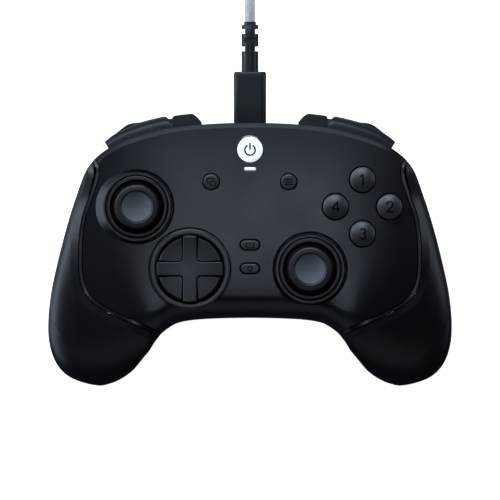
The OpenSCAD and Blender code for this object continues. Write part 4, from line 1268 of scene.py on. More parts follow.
@dataclass
class Shells:
    """Face, rear shell and grips."""

    form: PadForm
    layout: Layout
    shoulders: Shoulders
    bevel_w: float = 2.8
    bevel_h: float = 0.55
    rim_w: float = 1.1
    rim_h: float = 0.08
    groove_w: float = 0.44
    groove_d: float = 0.8
    cut_z: Point = (30.0, 70.0)
    key_lead: float = 0.16
    slot_lead: float = 0.22
    collar_h: float = 1.5
    collar_lead: float = 0.3
    collar_flare: float = 0.68
    pad_ring_h: float = 0.75
    pad_lead: float = 0.14
    slot_y: Point = (21.6, 36.4)
    slot_w: Point = (0.45, 1.2)
    rear_lead: float = 0.3
    screw_room: Point = (2.8, 6.0)

    def _holes(self, heights: Heights) -> Solid:
        """Holes of the face, each with a small rounded mouth.

        Args:
            heights: Heights of the body.

        Returns:
            The holes.
        """
        lay, top = self.layout, self.form.face_z
        low, high = self.cut_z
        tool = Solid()

        def mouth(r: float, edge: float, lead: float) -> list[Point]:
            """Profile of a round hole."""
            return [(0, low), (r, low), (r, edge - lead), (r + lead * 0.3, edge - lead * 0.3),
                    (r + lead, edge), (r + lead, high), (0, high)]

        rounds = [(p, lay.key_r + lay.ring_gap) for p in lay.key_places().values()]
        rounds += [(p, lay.small_r + lay.ring_gap) for p in (lay.view, lay.menu)]
        for p, r in [*rounds, (lay.home, lay.home_r + lay.lit_gap)]:
            tool.lathe(mouth(r, float(heights.along([p])[0]), self.key_lead), (*p, 0), segments=96)
        for p in (lay.left_stick, lay.right_stick):
            tool.lathe(mouth(lay.collar_r, top + self.collar_h, self.collar_lead), (*p, 0), segments=128)
        tool.lathe(mouth(lay.pad_hole_r, top + self.pad_ring_h, self.pad_lead), (*lay.pad, 0), segments=128)
        slots = [(p, lay.pill, lay.ring_gap) for p in (lay.share, lay.profile)]
        for p, (length, width), gap in [*slots, (lay.lens_at, lay.lens, lay.gap)]:
            edge, lead = float(heights.along([p])[0]), self.slot_lead
            levels = [(0, low), (0, edge - lead), (-0.07, edge - 0.07), (-lead, edge), (-lead, high)]
            tool.prism(stadium(length + 2 * gap, width + 2 * gap), levels, (*p, 0))
        return tool

    def _collars(self) -> Solid:
        """Raised rings round the sticks, the left one spread where the face falls away.

        Returns:
            The rings.
        """
        lay, z, r = self.layout, self.form.face_z, self.layout.collar_r
        section = [(-0.6, -2.0), (1.9, -2.0), (1.5, -0.6), (1.08, 1.1), (1.0, 1.2), (0.9, 1.2), (0.86, 1.0),
                   (0.72, 1.0), (0.68, 1.4), (0.6, 1.47), (-0.6, 1.53)]
        flank = [(r + a, z + b) for a, b in section]

        def flare(p: Array) -> Array:
            """Spreads the foot of the left ring to the left.

            Args:
                p: Corners of the ring.

            Returns:
                The moved corners.
            """
            out = p[:, :2] - lay.left_stick
            far = np.linalg.norm(out, axis=1)[:, None]
            left = ease(-out[:, :1] / far / 0.8)
            grow = self.collar_flare * left * np.clip(z + 1.2 - p[:, 2:], 0, None) * (far > r + 0.9)
            return np.hstack([p[:, :2] + out / far * grow, p[:, 2:]])

        spread = Solid().lathe(flank, (*lay.left_stick, 0), True, 160).moved(flare)
        return spread.lathe(flank, (*lay.right_stick, 0), True, 160)

    def _pad_ring(self) -> Solid:
        """Raised ring round the direction pad.

        Returns:
            The ring.
        """
        r, z = self.layout.pad_hole_r, self.form.face_z
        high = self.pad_ring_h
        section = [(-0.6, -1.4), (1.5, -1.4), (1.5, high - 0.3), (1.42, high - 0.1), (1.22, high),
                   (-0.6, high)]
        return Solid().lathe([(r + a, z + b) for a, b in section], (*self.layout.pad, 0), True, 160)

    def _grooves(self) -> Solid:
        """Grooves outside the rings of the direction pad and the sticks.

        Returns:
            The grooves.
        """
        lay, z = self.layout, self.form.face_z
        tool = Solid()
        for at, r, low in ((lay.pad, lay.pad_hole_r + 1.5, 0.45), (lay.left_stick, lay.collar_r + 1.4, 0.9),
                           (lay.right_stick, lay.collar_r + 1.4, 0.9)):
            section = [(r - 0.5, z - low), (r + 0.3, z - low), (r + 0.75 + low * 0.4, z + 0.02),
                       (r + 0.75 + low * 0.4, z + 1), (r - 0.5, z + 1)]
            tool.lathe(section, (*at, 0), True, 160)
        return tool.moved(self.form.crowned)

    def _seam_cut(self, heights: Heights, start: float, width: float, drop: float, level: bool) -> Solid:
        """Strip that bevels a piece along both grips' seams.

        Args:
            heights: Heights of the body.
            start: Distance from the seam to the piece's edge, positive towards the grip.
            width: Width of the bevel, with the same sign as start.
            drop: How far the bevel falls towards the seam.
            level: Whether it is a level ledge with a groove inside it.

        Returns:
            The strips.
        """
        seam = self.form.seam()
        out = -plan_normals(seam, False)
        near, far = seam + out * start, seam + out * (start + width)
        z_near = even(heights.along(near)) - drop
        z_far = z_near if level else even(heights.along(far))
        past = near - out * math.copysign(1.0, width)
        z_past = z_near - (z_far - z_near) / abs(width)
        rings = [beside(past, z_past), beside(far, z_far)]
        if level:
            deep, far = far - out * self.groove_w / 2, far - out * self.groove_w
            rings += [beside(deep, z_far - self.groove_d), beside(far, even(heights.along(far)) + 0.03)]
        rings += [beside(far, z_far + 8), beside(past, z_past + 12)]
        strip = np.stack(rings, 1)
        return Solid().loft(strip).loft(strip * [-1, 1, 1])

    def _wedges(self, heights: Heights) -> Solid:
        """Long thin slots between the face and the upper end of each grip.

        Args:
            heights: Heights of the body.

        Returns:
            The slots.
        """
        seam = self.form.seam(240)
        line = seam[(seam[:, 1] > self.slot_y[0]) & (seam[:, 1] < self.slot_y[1])]
        out = -plan_normals(line, False)
        t = np.linspace(1, 0, len(line))
        near, far = line - out * 0.1, line + out * between(*self.slot_w, t)[:, None]
        z = heights.along(line)
        low, high = z - 4, z + 6
        ring = np.stack([beside(near, low), beside(far, low), beside(far, high), beside(near, high)], 1)
        return Solid().loft(ring).loft(ring * [-1, 1, 1])

    def _ports(self, obj: Object) -> None:
        """Cuts the headset socket's and the lead's holes.

        Args:
            obj: The shell.
        """
        lay = self.layout
        jack = circle(lay.jack_r + lay.gap, 64)
        shape(obj, Solid().bar(jack, [(0, -60), (0, -8)], (0, 0, lay.jack_z)), Cut.REMOVE)
        slot = stadium(lay.port[0] + 2 * lay.gap, lay.port[1] + 2 * lay.gap)
        shape(obj, Solid().bar(slot, [(0, 45), (0, 60)], (0, 0, lay.port_z)), Cut.REMOVE)

    def face(self, heights: Heights) -> Object:
        """Front shell with its holes, rings and bevelled seams.

        Args:
            heights: Heights of the body.

        Returns:
            The piece.
        """
        obj = self.form.shell(Half.UPPER).piece("face_shell")
        shape(obj, self.form.between_grips(-self.form.seam_gap / 2), Cut.KEEP)
        shape(obj, self._grooves(), Cut.REMOVE)
        shape(obj, self._collars(), Cut.JOIN)
        shape(obj, self._pad_ring(), Cut.JOIN)
        shape(obj, self._holes(heights), Cut.REMOVE)
        shape(obj, self._seam_cut(heights, -self.form.seam_gap / 2, -self.rim_w, self.rim_h, True),
              Cut.REMOVE)
        for side in Side:
            for room in self.shoulders.rooms(side):
                shape(obj, room, Cut.REMOVE)
            shape(obj, self.shoulders.bridge(side), Cut.JOIN)
            shape(obj, self.shoulders.trigger_room(side), Cut.REMOVE)
        self._ports(obj)
        even_shading(obj, crease=22)
        return obj

    def grip(self, side: Side, heights: Heights) -> Object:
        """Grip of one hand, bevelled along its seam.

        Args:
            side: Which hand.
            heights: Heights of the body.

        Returns:
            The piece.
        """
        obj = self.form.shell(Half.UPPER).piece(f"{side.word}_grip_skin")
        shape(obj, Solid().box((0, -80, -5), (side.value * 90, 80, 80)), Cut.KEEP)
        shape(obj, self.form.between_grips(self.form.seam_gap / 2), Cut.REMOVE)
        shape(obj, self._seam_cut(heights, self.form.seam_gap / 2, self.bevel_w, self.bevel_h, False),
              Cut.REMOVE)
        shape(obj, self._wedges(heights), Cut.REMOVE)
        even_shading(obj, crease=14)
        return obj

    def rear(self) -> Object:
        """Rear shell with the holes of the back keys, stops, screws, triggers and sockets.

        Returns:
            The piece.
        """
        lay, form, lead = self.layout, self.form, self.rear_lead
        obj = form.shell(Half.LOWER).piece("rear_skin")
        tool = Solid()
        low, top = form.belly_z, form.belly_z + 4 * form.wall
        mouth = [(-lead, 5), (-lead, low), (0, low + lead), (0, top)]
        r, deep = self.screw_room
        for side in Side:
            for x, y in lay.back_at:
                outline = stadium(lay.back[0] + 2 * lay.gap, lay.back[1] + 2 * lay.gap)[:, ::-1][::-1]
                tool.prism(outline, mouth, (side.value * x, y, 0))
            x, y = lay.stop_at
            outline = stadium(lay.stop[0] + lay.stop_travel + 2 * lay.gap, lay.stop[1] + 2 * lay.gap)
            tool.prism(outline, mouth, (side.value * x, y, 0))
            for (x, y), high in ((lay.grip_screw, deep), (lay.top_screw, low + deep)):
                tool.lathe([(0, -3), (r, -3), (r, high), (0, high)], (side.value * x, y, 0))
        shape(obj, tool, Cut.REMOVE)
        for side in Side:
            shape(obj, self.shoulders.trigger_room(side), Cut.REMOVE)
        shape(obj, Solid().box((-100, -100, -20), (100, 100, 0)), Cut.REMOVE)
        self._ports(obj)
        even_shading(obj, crease=32)
        return obj

    def build(self, finishes: Finishes) -> None:
        """Makes and dresses the shells.

        Args:
            finishes: The materials.
        """
        heights = Heights(self.form.surface(Half.UPPER))
        fit(self.face(heights), "chassis", "shell", finishes.face, "front_shell")
        for side in Side:
            fit(self.grip(side, heights), "chassis", "grip", finishes.grip, f"{side.word}_grip")
        fit(self.rear(), "chassis", "shell", finishes.rear, "rear_shell")


# Controls


@dataclass
class Sticks:
    """Thumb sticks and the rings that they stand in."""

    layout: Layout
    pivot_z: float = 44.6
    top: float = 20.0
    cap_r: float = 8.6
    dish_r: float = 6.0
    dish_h: float = 1.85
    neck_r: float = 5.4
    dome_r: float = 12.6
    dome_t: float = 1.0
    bore_r: float = 1.66
    bore_h: float = 14.2
    ring_z: float = 50.7
    knurls: int = 84

    def profile(self) -> list[Point]:
        """Draws the cap from the dish's pocket over the crown to the shaft's bore.

        Returns:
            Radius and height above the pivot.
        """
        top, foot = self.top, self.dome_r * math.sin(math.acos(self.neck_r / self.dome_r)) - 0.3
        pocket = [(0, top - 3.0), (self.dish_r, top - 3.0), (self.dish_r, top - 0.5)]
        lip = [(6.2, 0.34), (6.38, 0.12), (6.55, 0.02), (6.75, 0), (6.92, 0.05), (7.0, 0.16)]
        crown = [(7.6, 0.23), (8.1, 0.31), (8.35, 0.45), (8.5, 0.75), (8.58, 1.2), (self.cap_r, 2.0)]
        under = [(self.cap_r, 3.3), (8.5, 3.8), (8.2, 4.3), (7.6, 4.62), (6.4, 4.9), (5.7, 5.3),
                 (self.neck_r, 6.0)]
        bore = [(self.neck_r, foot), (self.bore_r, foot), (self.bore_r, self.bore_h), (0, self.bore_h)]
        return pocket + [(r, top - fall) for r, fall in lip + crown + under] + bore

    def dome(self) -> list[Point]:
        """Draws the round skirt under the cap, which closes the well.

        Returns:
            Radius and height above the pivot.
        """
        out_r, in_r, low = self.dome_r, self.dome_r - self.dome_t, math.radians(10)
        high, roof = math.acos(self.neck_r / out_r), math.acos(self.neck_r / in_r)
        outside = [(out_r * math.cos(a), out_r * math.sin(a)) for a in np.linspace(high, low, 20)]
        inside = [(in_r * math.cos(a), in_r * math.sin(a)) for a in np.linspace(low, roof, 14)]
        foot = out_r * math.sin(high) - 0.31
        bore = [(self.neck_r - 0.6, in_r - 1), (self.bore_r, in_r - 1), (self.bore_r, foot),
                (self.neck_r, foot)]
        return outside + inside + bore

    def dish(self) -> list[Point]:
        """Draws the soft hollow in the cap's top.

        Returns:
            Radius and height above the pivot.
        """
        r, foot, low = self.dish_r - 0.15, self.top - 2.98, self.top - 0.45 - self.dish_h
        hollow = [(r * k / 14, low + self.dish_h * (k / 14) ** 2) for k in range(14, -1, -1)]
        return [(0, foot), (r, foot), *hollow]

    def _knurl(self, name: str, at: Point, material: bpy.types.Material) -> Object:
        """Fine ribs on the cap's slope, instanced round it.

        Args:
            name: Name of the piece.
            at: Middle of the stick.
            material: Material of the ribs.

        Returns:
            The piece, a plain mesh.
        """
        z = self.pivot_z + self.top
        section = np.array([(-0.14, -0.2), (0.14, -0.2), (0.07, 0.07), (-0.07, 0.07)])
        rings = [[(r, y, z + h + drop) for y, h in section] for r, drop in
                 ((7.05, -0.17), (7.6, -0.23), (8.1, -0.31), (8.35, -0.45), (8.48, -0.75))]
        rib = Solid().loft(np.array(rings)).piece(f"{name}.rib", 30)
        ring = Ring(self.knurls).piece(name, rib, material)
        bpy.data.objects.remove(rib)
        ring.data.transform(shift(at))
        return ring

    def build(self, finishes: Finishes) -> None:
        """Makes and dresses both sticks and their rings.

        Args:
            finishes: The materials.
        """
        rings, z = Solid(), self.ring_z
        for side, at in zip(Side, (self.layout.left_stick, self.layout.right_stick)):
            stick, pivot = f"{side.word}_stick", (*at, self.pivot_z)
            body = f"{stick}_lever"
            cap = Solid().lathe(self.profile(), pivot, segments=144).piece(f"{stick}_rubber", 32)
            fit(cap, body, "key", finishes.stick, f"{stick}_cap")
            dish = Solid().lathe(self.dish(), pivot, segments=144).piece(f"{stick}_dish", 40)
            fit(dish, body, "key", finishes.dish)
            dome = Solid().lathe(self.dome(), pivot, True, 144).piece(f"{stick}_dome", 32)
            # The dome takes the black print ink as painted shade, so the stick's well shows dark round the
            # cap
            fit(dome, body, "key", finishes.mark)
            fit(self._knurl(f"{stick}_knurl", at, finishes.key), body, "key", finishes.key)
            rings.lathe([(11.3, z), (12.2, z), (12.2, z + 2.1), (12.1, z + 2.32), (11.9, z + 2.42),
                         (11.0, z + 2.42), (10.75, z + 2.36), (10.62, z + 2.2)], (*at, 0), True, 128)
        fit(rings.piece("stick_well_rings"), "chassis", "key", finishes.ring, "stick_rings")


class Repeat:
    """Geometry Nodes tree that repeats one object on points."""

    def __init__(self, name: str) -> None:
        """Makes a tree with its inputs.

        Args:
            name: Its name.
        """
        self.tree = bpy.data.node_groups.new(name, "GeometryNodeTree")
        self.tree.is_modifier = True
        face = self.tree.interface
        face.new_socket("Geometry", in_out="OUTPUT", socket_type="NodeSocketGeometry")
        face.new_socket("Geometry", in_out="INPUT", socket_type="NodeSocketGeometry")
        self._inputs: dict[str, str] = {}
        for label, kind in (("Piece", "NodeSocketObject"), ("Finish", "NodeSocketMaterial"),
                            ("Count", "NodeSocketInt")):
            self._inputs[label] = face.new_socket(label, in_out="INPUT", socket_type=kind).identifier
        self.entry = self.add("NodeGroupInput")
        self.exit = self.add("NodeGroupOutput")

    def _feed(self, target: bpy.types.NodeSocket, value: Any) -> None:
        """Links a socket to an input, or sets its value.

        Args:
            target: The socket.
            value: Input or value.
        """
        if isinstance(value, bpy.types.NodeSocket):
            self.tree.links.new(value, target)
        else:
            target.default_value = value

    def add(self, kind: str, **links: Any) -> bpy.types.Node:
        """Adds a node.

        Args:
            kind: Type of the node.
            **links: Sockets or values of its inputs, with _ for each space in a name.

        Returns:
            The node.
        """
        node = self.tree.nodes.new(kind)
        for key, value in links.items():
            self._feed(node.inputs[key.replace("_", " ")], value)
        return node

    def sum(self, operation: str, a: Any, b: Any) -> bpy.types.NodeSocket:
        """Adds a Math node.

        Args:
            operation: What it does.
            a: First input.
            b: Second input.

        Returns:
            Its result.
        """
        node = self.add("ShaderNodeMath")
        node.operation = operation
        self._feed(node.inputs[0], a)
        self._feed(node.inputs[1], b)
        return node.outputs[0]

    def close(self, **spots: Any) -> None:
        """Puts the piece on points, as real faces with its finish.

        Args:
            **spots: Points and, where the pieces are turned, Rotation.
        """
        info = self.add("GeometryNodeObjectInfo", Object=self.entry.outputs["Piece"])
        on = self.add("GeometryNodeInstanceOnPoints", Instance=info.outputs["Geometry"], **spots)
        real = self.add("GeometryNodeRealizeInstances", Geometry=on.outputs[0])
        done = self.add("GeometryNodeSetMaterial", Geometry=real.outputs[0],
                        Material=self.entry.outputs["Finish"])
        self.tree.links.new(done.outputs[0], self.exit.inputs[0])

    def run(self, obj: Object, piece: Object, material: bpy.types.Material, count: int) -> Object:
        """Runs the tree on an object and leaves a plain mesh.

        Args:
            obj: Object whose points carry the piece.
            piece: The piece that repeats.
            material: Its material.
            count: How many there are.

        Returns:
            The object.
        """
        mod = obj.modifiers.new("repeat", "NODES")
        mod.node_group = self.tree
        for label, value in (("Piece", piece), ("Finish", material), ("Count", count)):
            mod[self._inputs[label]] = value
        settle(obj)
        smooth(obj, 30)
        return obj


@dataclass
class Ring:
    """Pieces that stand in a ring about the origin."""

    count: int

    def piece(self, name: str, rib: Object, material: bpy.types.Material) -> Object:
        """Makes the ring.

        Args:
            name: Name of the new piece.
            rib: What repeats, placed at its spot on +X.
            material: Its material.

        Returns:
            The ring, a plain mesh.
        """
        made = Repeat(f"{name}_tree")
        count = made.entry.outputs["Count"]
        spots = made.add("GeometryNodeMeshLine", Count=count, Offset=(0.0, 0.0, 0.0))
        index = made.add("GeometryNodeInputIndex")
        turn = made.sum("MULTIPLY", made.sum("DIVIDE", index.outputs[0], count), 2 * math.pi)
        spin = made.add("ShaderNodeCombineXYZ", Z=turn)
        made.close(Points=spots.outputs[0], Rotation=spin.outputs[0])
        return made.run(linked(name, bpy.data.meshes.new(name)), rib, material, self.count)


@dataclass
class DirectionPad:
    """Disc with four dished quarters and a raised cross."""

    layout: Layout
    face_z: float
    disc_r: float = 12.6
    arm_r: float = 13.1
    arm_w: float = 5.3
    arm_h: float = 2.8
    low_z: float = 49.6
    fillet: float = 1.9
    groove_w: float = 0.34
    hollow_r: float = 100.0

    def _cross(self, grow: float) -> Array:
        """Outline of the cross with round inner corners.

        Args:
            grow: How far it is widened.

        Returns:
            Points, anticlockwise.
        """
        w, r, f = self.arm_w / 2 + grow, self.arm_r + grow, self.fillet - grow
        end = math.asin(w / r)
        quarter = [(r * math.cos(a), r * math.sin(a)) for a in np.linspace(-end, end, 15)]
        quarter += [(x, w) for x in np.linspace(r * math.cos(end) - 0.25, w + f + 0.2, 26)]
        mid = (w + f, w + f)
        quarter += [(mid[0] + f * math.cos(a), mid[1] + f * math.sin(a))
                    for a in np.linspace(-math.pi / 2, -math.pi, 12)]
        quarter += [(w, y) for y in np.linspace(w + f + 0.2, r * math.cos(end) - 0.25, 26)]
        one = np.array(quarter)
        turned = [one]
        for _ in range(3):
            last = turned[-1]
            turned.append(beside(-last[:, 1], last[:, 0]))
        return np.vstack(turned)

    def disc(self) -> Object:
        """Disc with its hollowed top, its skirt and the groove for the cross.

        Returns:
            The piece.
        """
        top, r, low, ball = self.face_z + self.arm_h - 0.9, self.disc_r, self.low_z, self.hollow_r
        skirt = [(0, low), (r - 1.2, low), (r + 0.6, low - 1.2), (r + 1.0, low - 1.2), (r + 1.0, low - 0.8)]
        edge = [(r, low + 1.9), (r, top - 0.75), (r - 0.1, top - 0.3), (r - 0.32, top - 0.06), (r - 0.6, top)]
        profile = [*skirt, *edge, (r * 0.5, top), (0, top)]
        obj = Solid().lathe(profile, segments=160).piece("direction_pad_disc")
        line = [(ball * math.sin(t), top - 0.72 + ball * (1 - math.cos(t))) for t in np.linspace(0, 0.2, 40)]
        shape(obj, Solid().lathe([*line, (0, line[-1][1] + 0.01)], segments=120), Cut.REMOVE)
        groove = self._cross(self.groove_w)
        reach = np.clip((np.linalg.norm(groove, axis=1) - 5) / 8, 0, 1)[:, None]
        groove = groove + plan_normals(groove, True) * reach * 0.45
        shape(obj, Solid().prism(groove, [(1.1, low + 0.2), (0, low + 2.4), (0, 60)]), Cut.REMOVE)
        even_shading(obj, crease=24)
        obj.data.transform(shift(self.layout.pad))
        return obj

    def cross(self) -> Object:
        """Cross with rounded edges and a hollowed top.

        Returns:
            The piece.
        """
        top, outline = self.face_z + self.arm_h, self._cross(0.0)
        out = plan_normals(outline, True)

        def level(inset: float, drop: float, scale: float = 1.0) -> Array:
            """Ring of the top, moved in and down from the hollow."""
            p = (outline - out * inset) * scale
            return beside(p, top - 0.8 - drop + (p**2).sum(1) / (2 * self.hollow_r))

        rings = [beside(outline, np.full(len(outline), self.low_z))]
        rings += [level(inset, drop) for inset, drop in ((0, 0.6), (0.05, 0.3), (0.16, 0.1), (0.34, 0))]
        rings += [level(0.34, 0, k) for k in np.linspace(0.97, 0.02, 14)]
        obj = Solid().loft(np.stack(rings)).piece("direction_pad_cross", 40)
        obj.data.transform(shift(self.layout.pad))
        return obj

    def build(self, finishes: Finishes) -> None:
        """Makes and dresses the pad."""
        fit(self.disc(), "dpad_cap", "key", finishes.pad, "dpad_cap")
        fit(self.cross(), "dpad_cap", "key", finishes.pad)


class Marks:
    """Strokes of the signs on the keys, each a list of lines."""

    @staticmethod
    def arc(mid: Point, r: float, start: float, stop: float, steps: int = 24) -> Array:
        """Points of a circle's arc, with angles in degrees."""
        a = np.radians(np.linspace(start, stop, steps))
        return beside(mid[0] + r * np.cos(a), mid[1] + r * np.sin(a))

    @classmethod
    def digit(cls, number: int) -> list[Array]:
        """Draws a digit about 4 mm tall.

        Args:
            number: The digit, from 1 to 4.

        Returns:
            Its lines.
        """
        lines: dict[int, list[Any]] = {
            1: [[(-0.7, 0.9), (0.1, 1.5), (0.1, -1.5)]],
            2: [np.vstack([cls.arc((0, 0.62), 0.88, 170, -35), [(-0.9, -1.5), (0.95, -1.5)]])],
            3: [np.vstack([cls.arc((0, 0.75), 0.75, 150, -80), cls.arc((0, -0.68), 0.82, 80, -150)])],
            4: [[(0.55, -1.5), (0.55, 1.5), (-0.95, -0.6), (1.05, -0.6)]],
        }
        return [np.asarray(line, float) * 1.35 for line in lines[number]]

    @classmethod
    def power(cls) -> list[Array]:
        """Broken ring and bar of a power sign."""
        return [cls.arc((0, -0.2), 2.05, 125, 415, 60), np.array([(0, 2.3), (0, 0.2)])]

    @staticmethod
    def bars() -> list[Array]:
        """Three bars of a menu sign."""
        return [np.array([(-1.5, y), (1.5, y)]) for y in (0.95, 0.0, -0.95)]

    @staticmethod
    def windows() -> list[Array]:
        """Draws two overlapped windows.

        Returns:
            Their lines.
        """
        front = np.array([(-0.35, -1.25), (1.25, -1.25), (1.25, 0.1), (-0.35, 0.1), (-0.35, -1.25)])
        back = np.array([(-0.75, -0.3), (-1.3, -0.3), (-1.3, 1.15), (0.45, 1.15), (0.45, 0.5)])
        return [front * 1.22, back * 1.22]

    @staticmethod
    def tray() -> list[Array]:
        """Tray with a short bar over it."""
        tray = [(-1.05, 0.4), (-1.65, 0.4), (-1.65, -0.9), (1.65, -0.9), (1.65, 0.4), (1.05, 0.4)]
        return [np.array(tray), np.array([(0, 0.9), (0, 0.1)])]

    @classmethod
    def ring(cls) -> list[Array]:
        """Small ring."""
        return [cls.arc((0, 0), 0.85, 0, 360, 40)]


@dataclass
class Keys:
    """Face buttons, centre buttons and the indicator."""

    layout: Layout
    face_z: float
    flange_z: float = 49.5
    key_h: float = 2.6
    dome_h: float = 1.6
    small_h: float = 0.7
    stem: Point = (1.4, 43.8)
    ink: Point = (0.035, 0.12)
    digit_w: float = 0.66
    pill_sign_w: float = 0.4

    def _sign(self, name: str, lines: Sequence[Array], at: Point, width: float,
              height: Callable[[Array], Array]) -> Object:
        """Printed sign on a key, a ribbon just proud of its top.

        Args:
            name: Name of the piece.
            lines: Its lines in plan, about the key's middle.
            at: The key's middle.
            width: Width of the strokes.
            height: Height of the key's top at points about its middle.

        Returns:
            The piece.
        """
        sign = Solid()
        for line in lines:
            length = np.concatenate([[0], np.cumsum(np.linalg.norm(np.diff(line, axis=0), axis=1))])
            looped = np.linalg.norm(line[0] - line[-1]) < 1e-6
            count = max(4, int(length[-1] / 0.14))
            t = np.linspace(0, length[-1], count, endpoint=not looped)
            p = beside(*(np.interp(t, length, line[:, k]) for k in (0, 1)))
            out = plan_normals(p, looped)
            half = np.full(len(p), width / 2)
            if not looped:
                turn = np.radians([78, 55, 28])
                ahead = (p[0] - p[1]) / np.linalg.norm(p[0] - p[1])
                behind = (p[-1] - p[-2]) / np.linalg.norm(p[-1] - p[-2])
                lead = p[0] + ahead * np.sin(turn)[:, None] * width / 2
                tail = p[-1] + behind * np.sin(turn[::-1])[:, None] * width / 2
                half = np.concatenate([np.cos(turn), np.ones(len(p)), np.cos(turn[::-1])]) * width / 2
                out = np.vstack([np.repeat(out[:1], 3, 0), out, np.repeat(out[-1:], 3, 0)])
                p = np.vstack([lead, p, tail])
            left, right = p - out * half[:, None], p + out * half[:, None]
            z_left, z_right = height(left), height(right)
            over, under = self.ink
            corners = ((left, z_left + over), (right, z_right + over),
                       (right, z_right - under), (left, z_left - under))
            sign.loft(np.stack([beside(*c) for c in corners], 1) + np.array([*at, 0]), looped)
        return sign.piece(name, 40)

    def _round(self, name: str, at: Point, r: float, top: float, crown: Callable[[Array], Array],
               skirt: float = 0.4) -> Object:
        """Round key.

        Args:
            name: Name of the piece.
            at: Its middle.
            r: Its radius.
            top: Height of its top.
            crown: Fall of the top at a share of the radius.
            skirt: How far its foot stands out.

        Returns:
            The piece.
        """
        share = np.linspace(0, 1, 30) ** 0.7
        low, (stem_r, stem_z) = self.flange_z - 1.2, self.stem
        line = [(0, stem_z), (stem_r, stem_z), (stem_r, low), (r + skirt, low), (r + skirt, low + 0.3),
                (r, low + 2.4)]
        line += [(r * f, top - float(crown(np.array(f)))) for f in share[::-1]]
        return Solid().lathe(line, (*at, 0), segments=96).piece(name, 40)

    def _face_keys(self, finishes: Finishes) -> None:
        """The four domed buttons with their digits.

        Args:
            finishes: The materials.
        """
        r, top = self.layout.key_r, self.face_z + self.key_h

        def crown(f: Array) -> Array:
            """Low dome with a round shoulder."""
            return self.dome_h * f**2 + 0.25 * f**36

        for number, (place, at) in enumerate(self.layout.key_places().items(), 1):
            node = f"face_button_{place}"
            fit(self._round(f"{node}_cap", at, r, top, crown), node, "key", finishes.key, node)
            sign = self._sign(f"{node}_digit", Marks.digit(number), at, self.digit_w,
                              lambda p: top - crown(np.linalg.norm(p, axis=1) / r))
            fit(sign, node, "key", finishes.mark)

    def _pill(self, name: str, at: Point) -> Object:
        """Pill-shaped key with a rounded edge.

        Args:
            name: Name of the piece.
            at: Its middle.

        Returns:
            The piece.
        """
        top = self.face_z + self.small_h
        low = self.flange_z - 1.2
        levels = [(-0.4, low), (-0.4, low + 0.3), (0, low + 2.4), (0, top - 0.5), (0.06, top - 0.26),
                  (0.2, top - 0.09), (0.42, top - 0.01), (0.8, top), (1.5, top)]
        return Solid().prism(stadium(*self.layout.pill), levels, (*at, 0)).piece(name, 40)

    def _lens(self) -> Object:
        """Indicator's bar, with a longer foot under the face.

        Returns:
            The piece.
        """
        (length, width), z = self.layout.lens, self.face_z
        levels = [(2, 0, z - 3.2), (2, 0, z - 2.3), (0, 0, z - 2.29), (0, 0, z - 0.12),
                  (-0.1, -0.1, z - 0.02), (-0.32, -0.32, z + 0.04)]
        rings = [np.insert(stadium(length + a, width + b), 2, h, 1) for a, b, h in levels]
        return Solid().loft(np.stack(rings) + np.array([*self.layout.lens_at, 0])).piece("indicator_bar", 40)

    def build(self, finishes: Finishes) -> None:
        """Makes and dresses the keys.

        Args:
            finishes: The materials.
        """
        self._face_keys(finishes)
        lay, top = self.layout, self.face_z + self.small_h

        def flat(p: Array) -> Array:
            """Level top of a centre key."""
            return np.full(len(p), top)

        def edge(f: Array) -> Array:
            """Level top with a round shoulder."""
            return 0.06 * f**2 + 0.28 * f**10

        signs = {"view": (lay.view, Marks.windows(), lay.small_r, 0.42),
                 "menu": (lay.menu, Marks.bars(), lay.small_r, 0.5),
                 "home": (lay.home, Marks.power(), lay.home_r, 0.62)}
        for name, (at, lines, r, width) in signs.items():
            node, lit = f"{name}_button", name == "home"
            cap = self._round(f"{node}_cap", at, r, top, edge, 0.05 if lit else 0.4)
            fit(cap, node, "light" if lit else "key", finishes.lit if lit else finishes.key, node)
            sign = self._sign(f"{node}_sign", lines, at, width,
                              lambda p, r=r: top - edge(np.linalg.norm(p, axis=1) / r))
            fit(sign, node, "key", finishes.mark)
        for name, at, lines in (("share", lay.share, Marks.tray()), ("profile", lay.profile, Marks.ring())):
            node = f"{name}_button"
            fit(self._pill(f"{node}_cap", at), node, "key", finishes.key, node)
            fit(self._sign(f"{node}_sign", lines, at, self.pill_sign_w, flat), node, "key", finishes.mark)
        fit(self._lens(), "chassis", "light", finishes.lit, "indicator_lens")


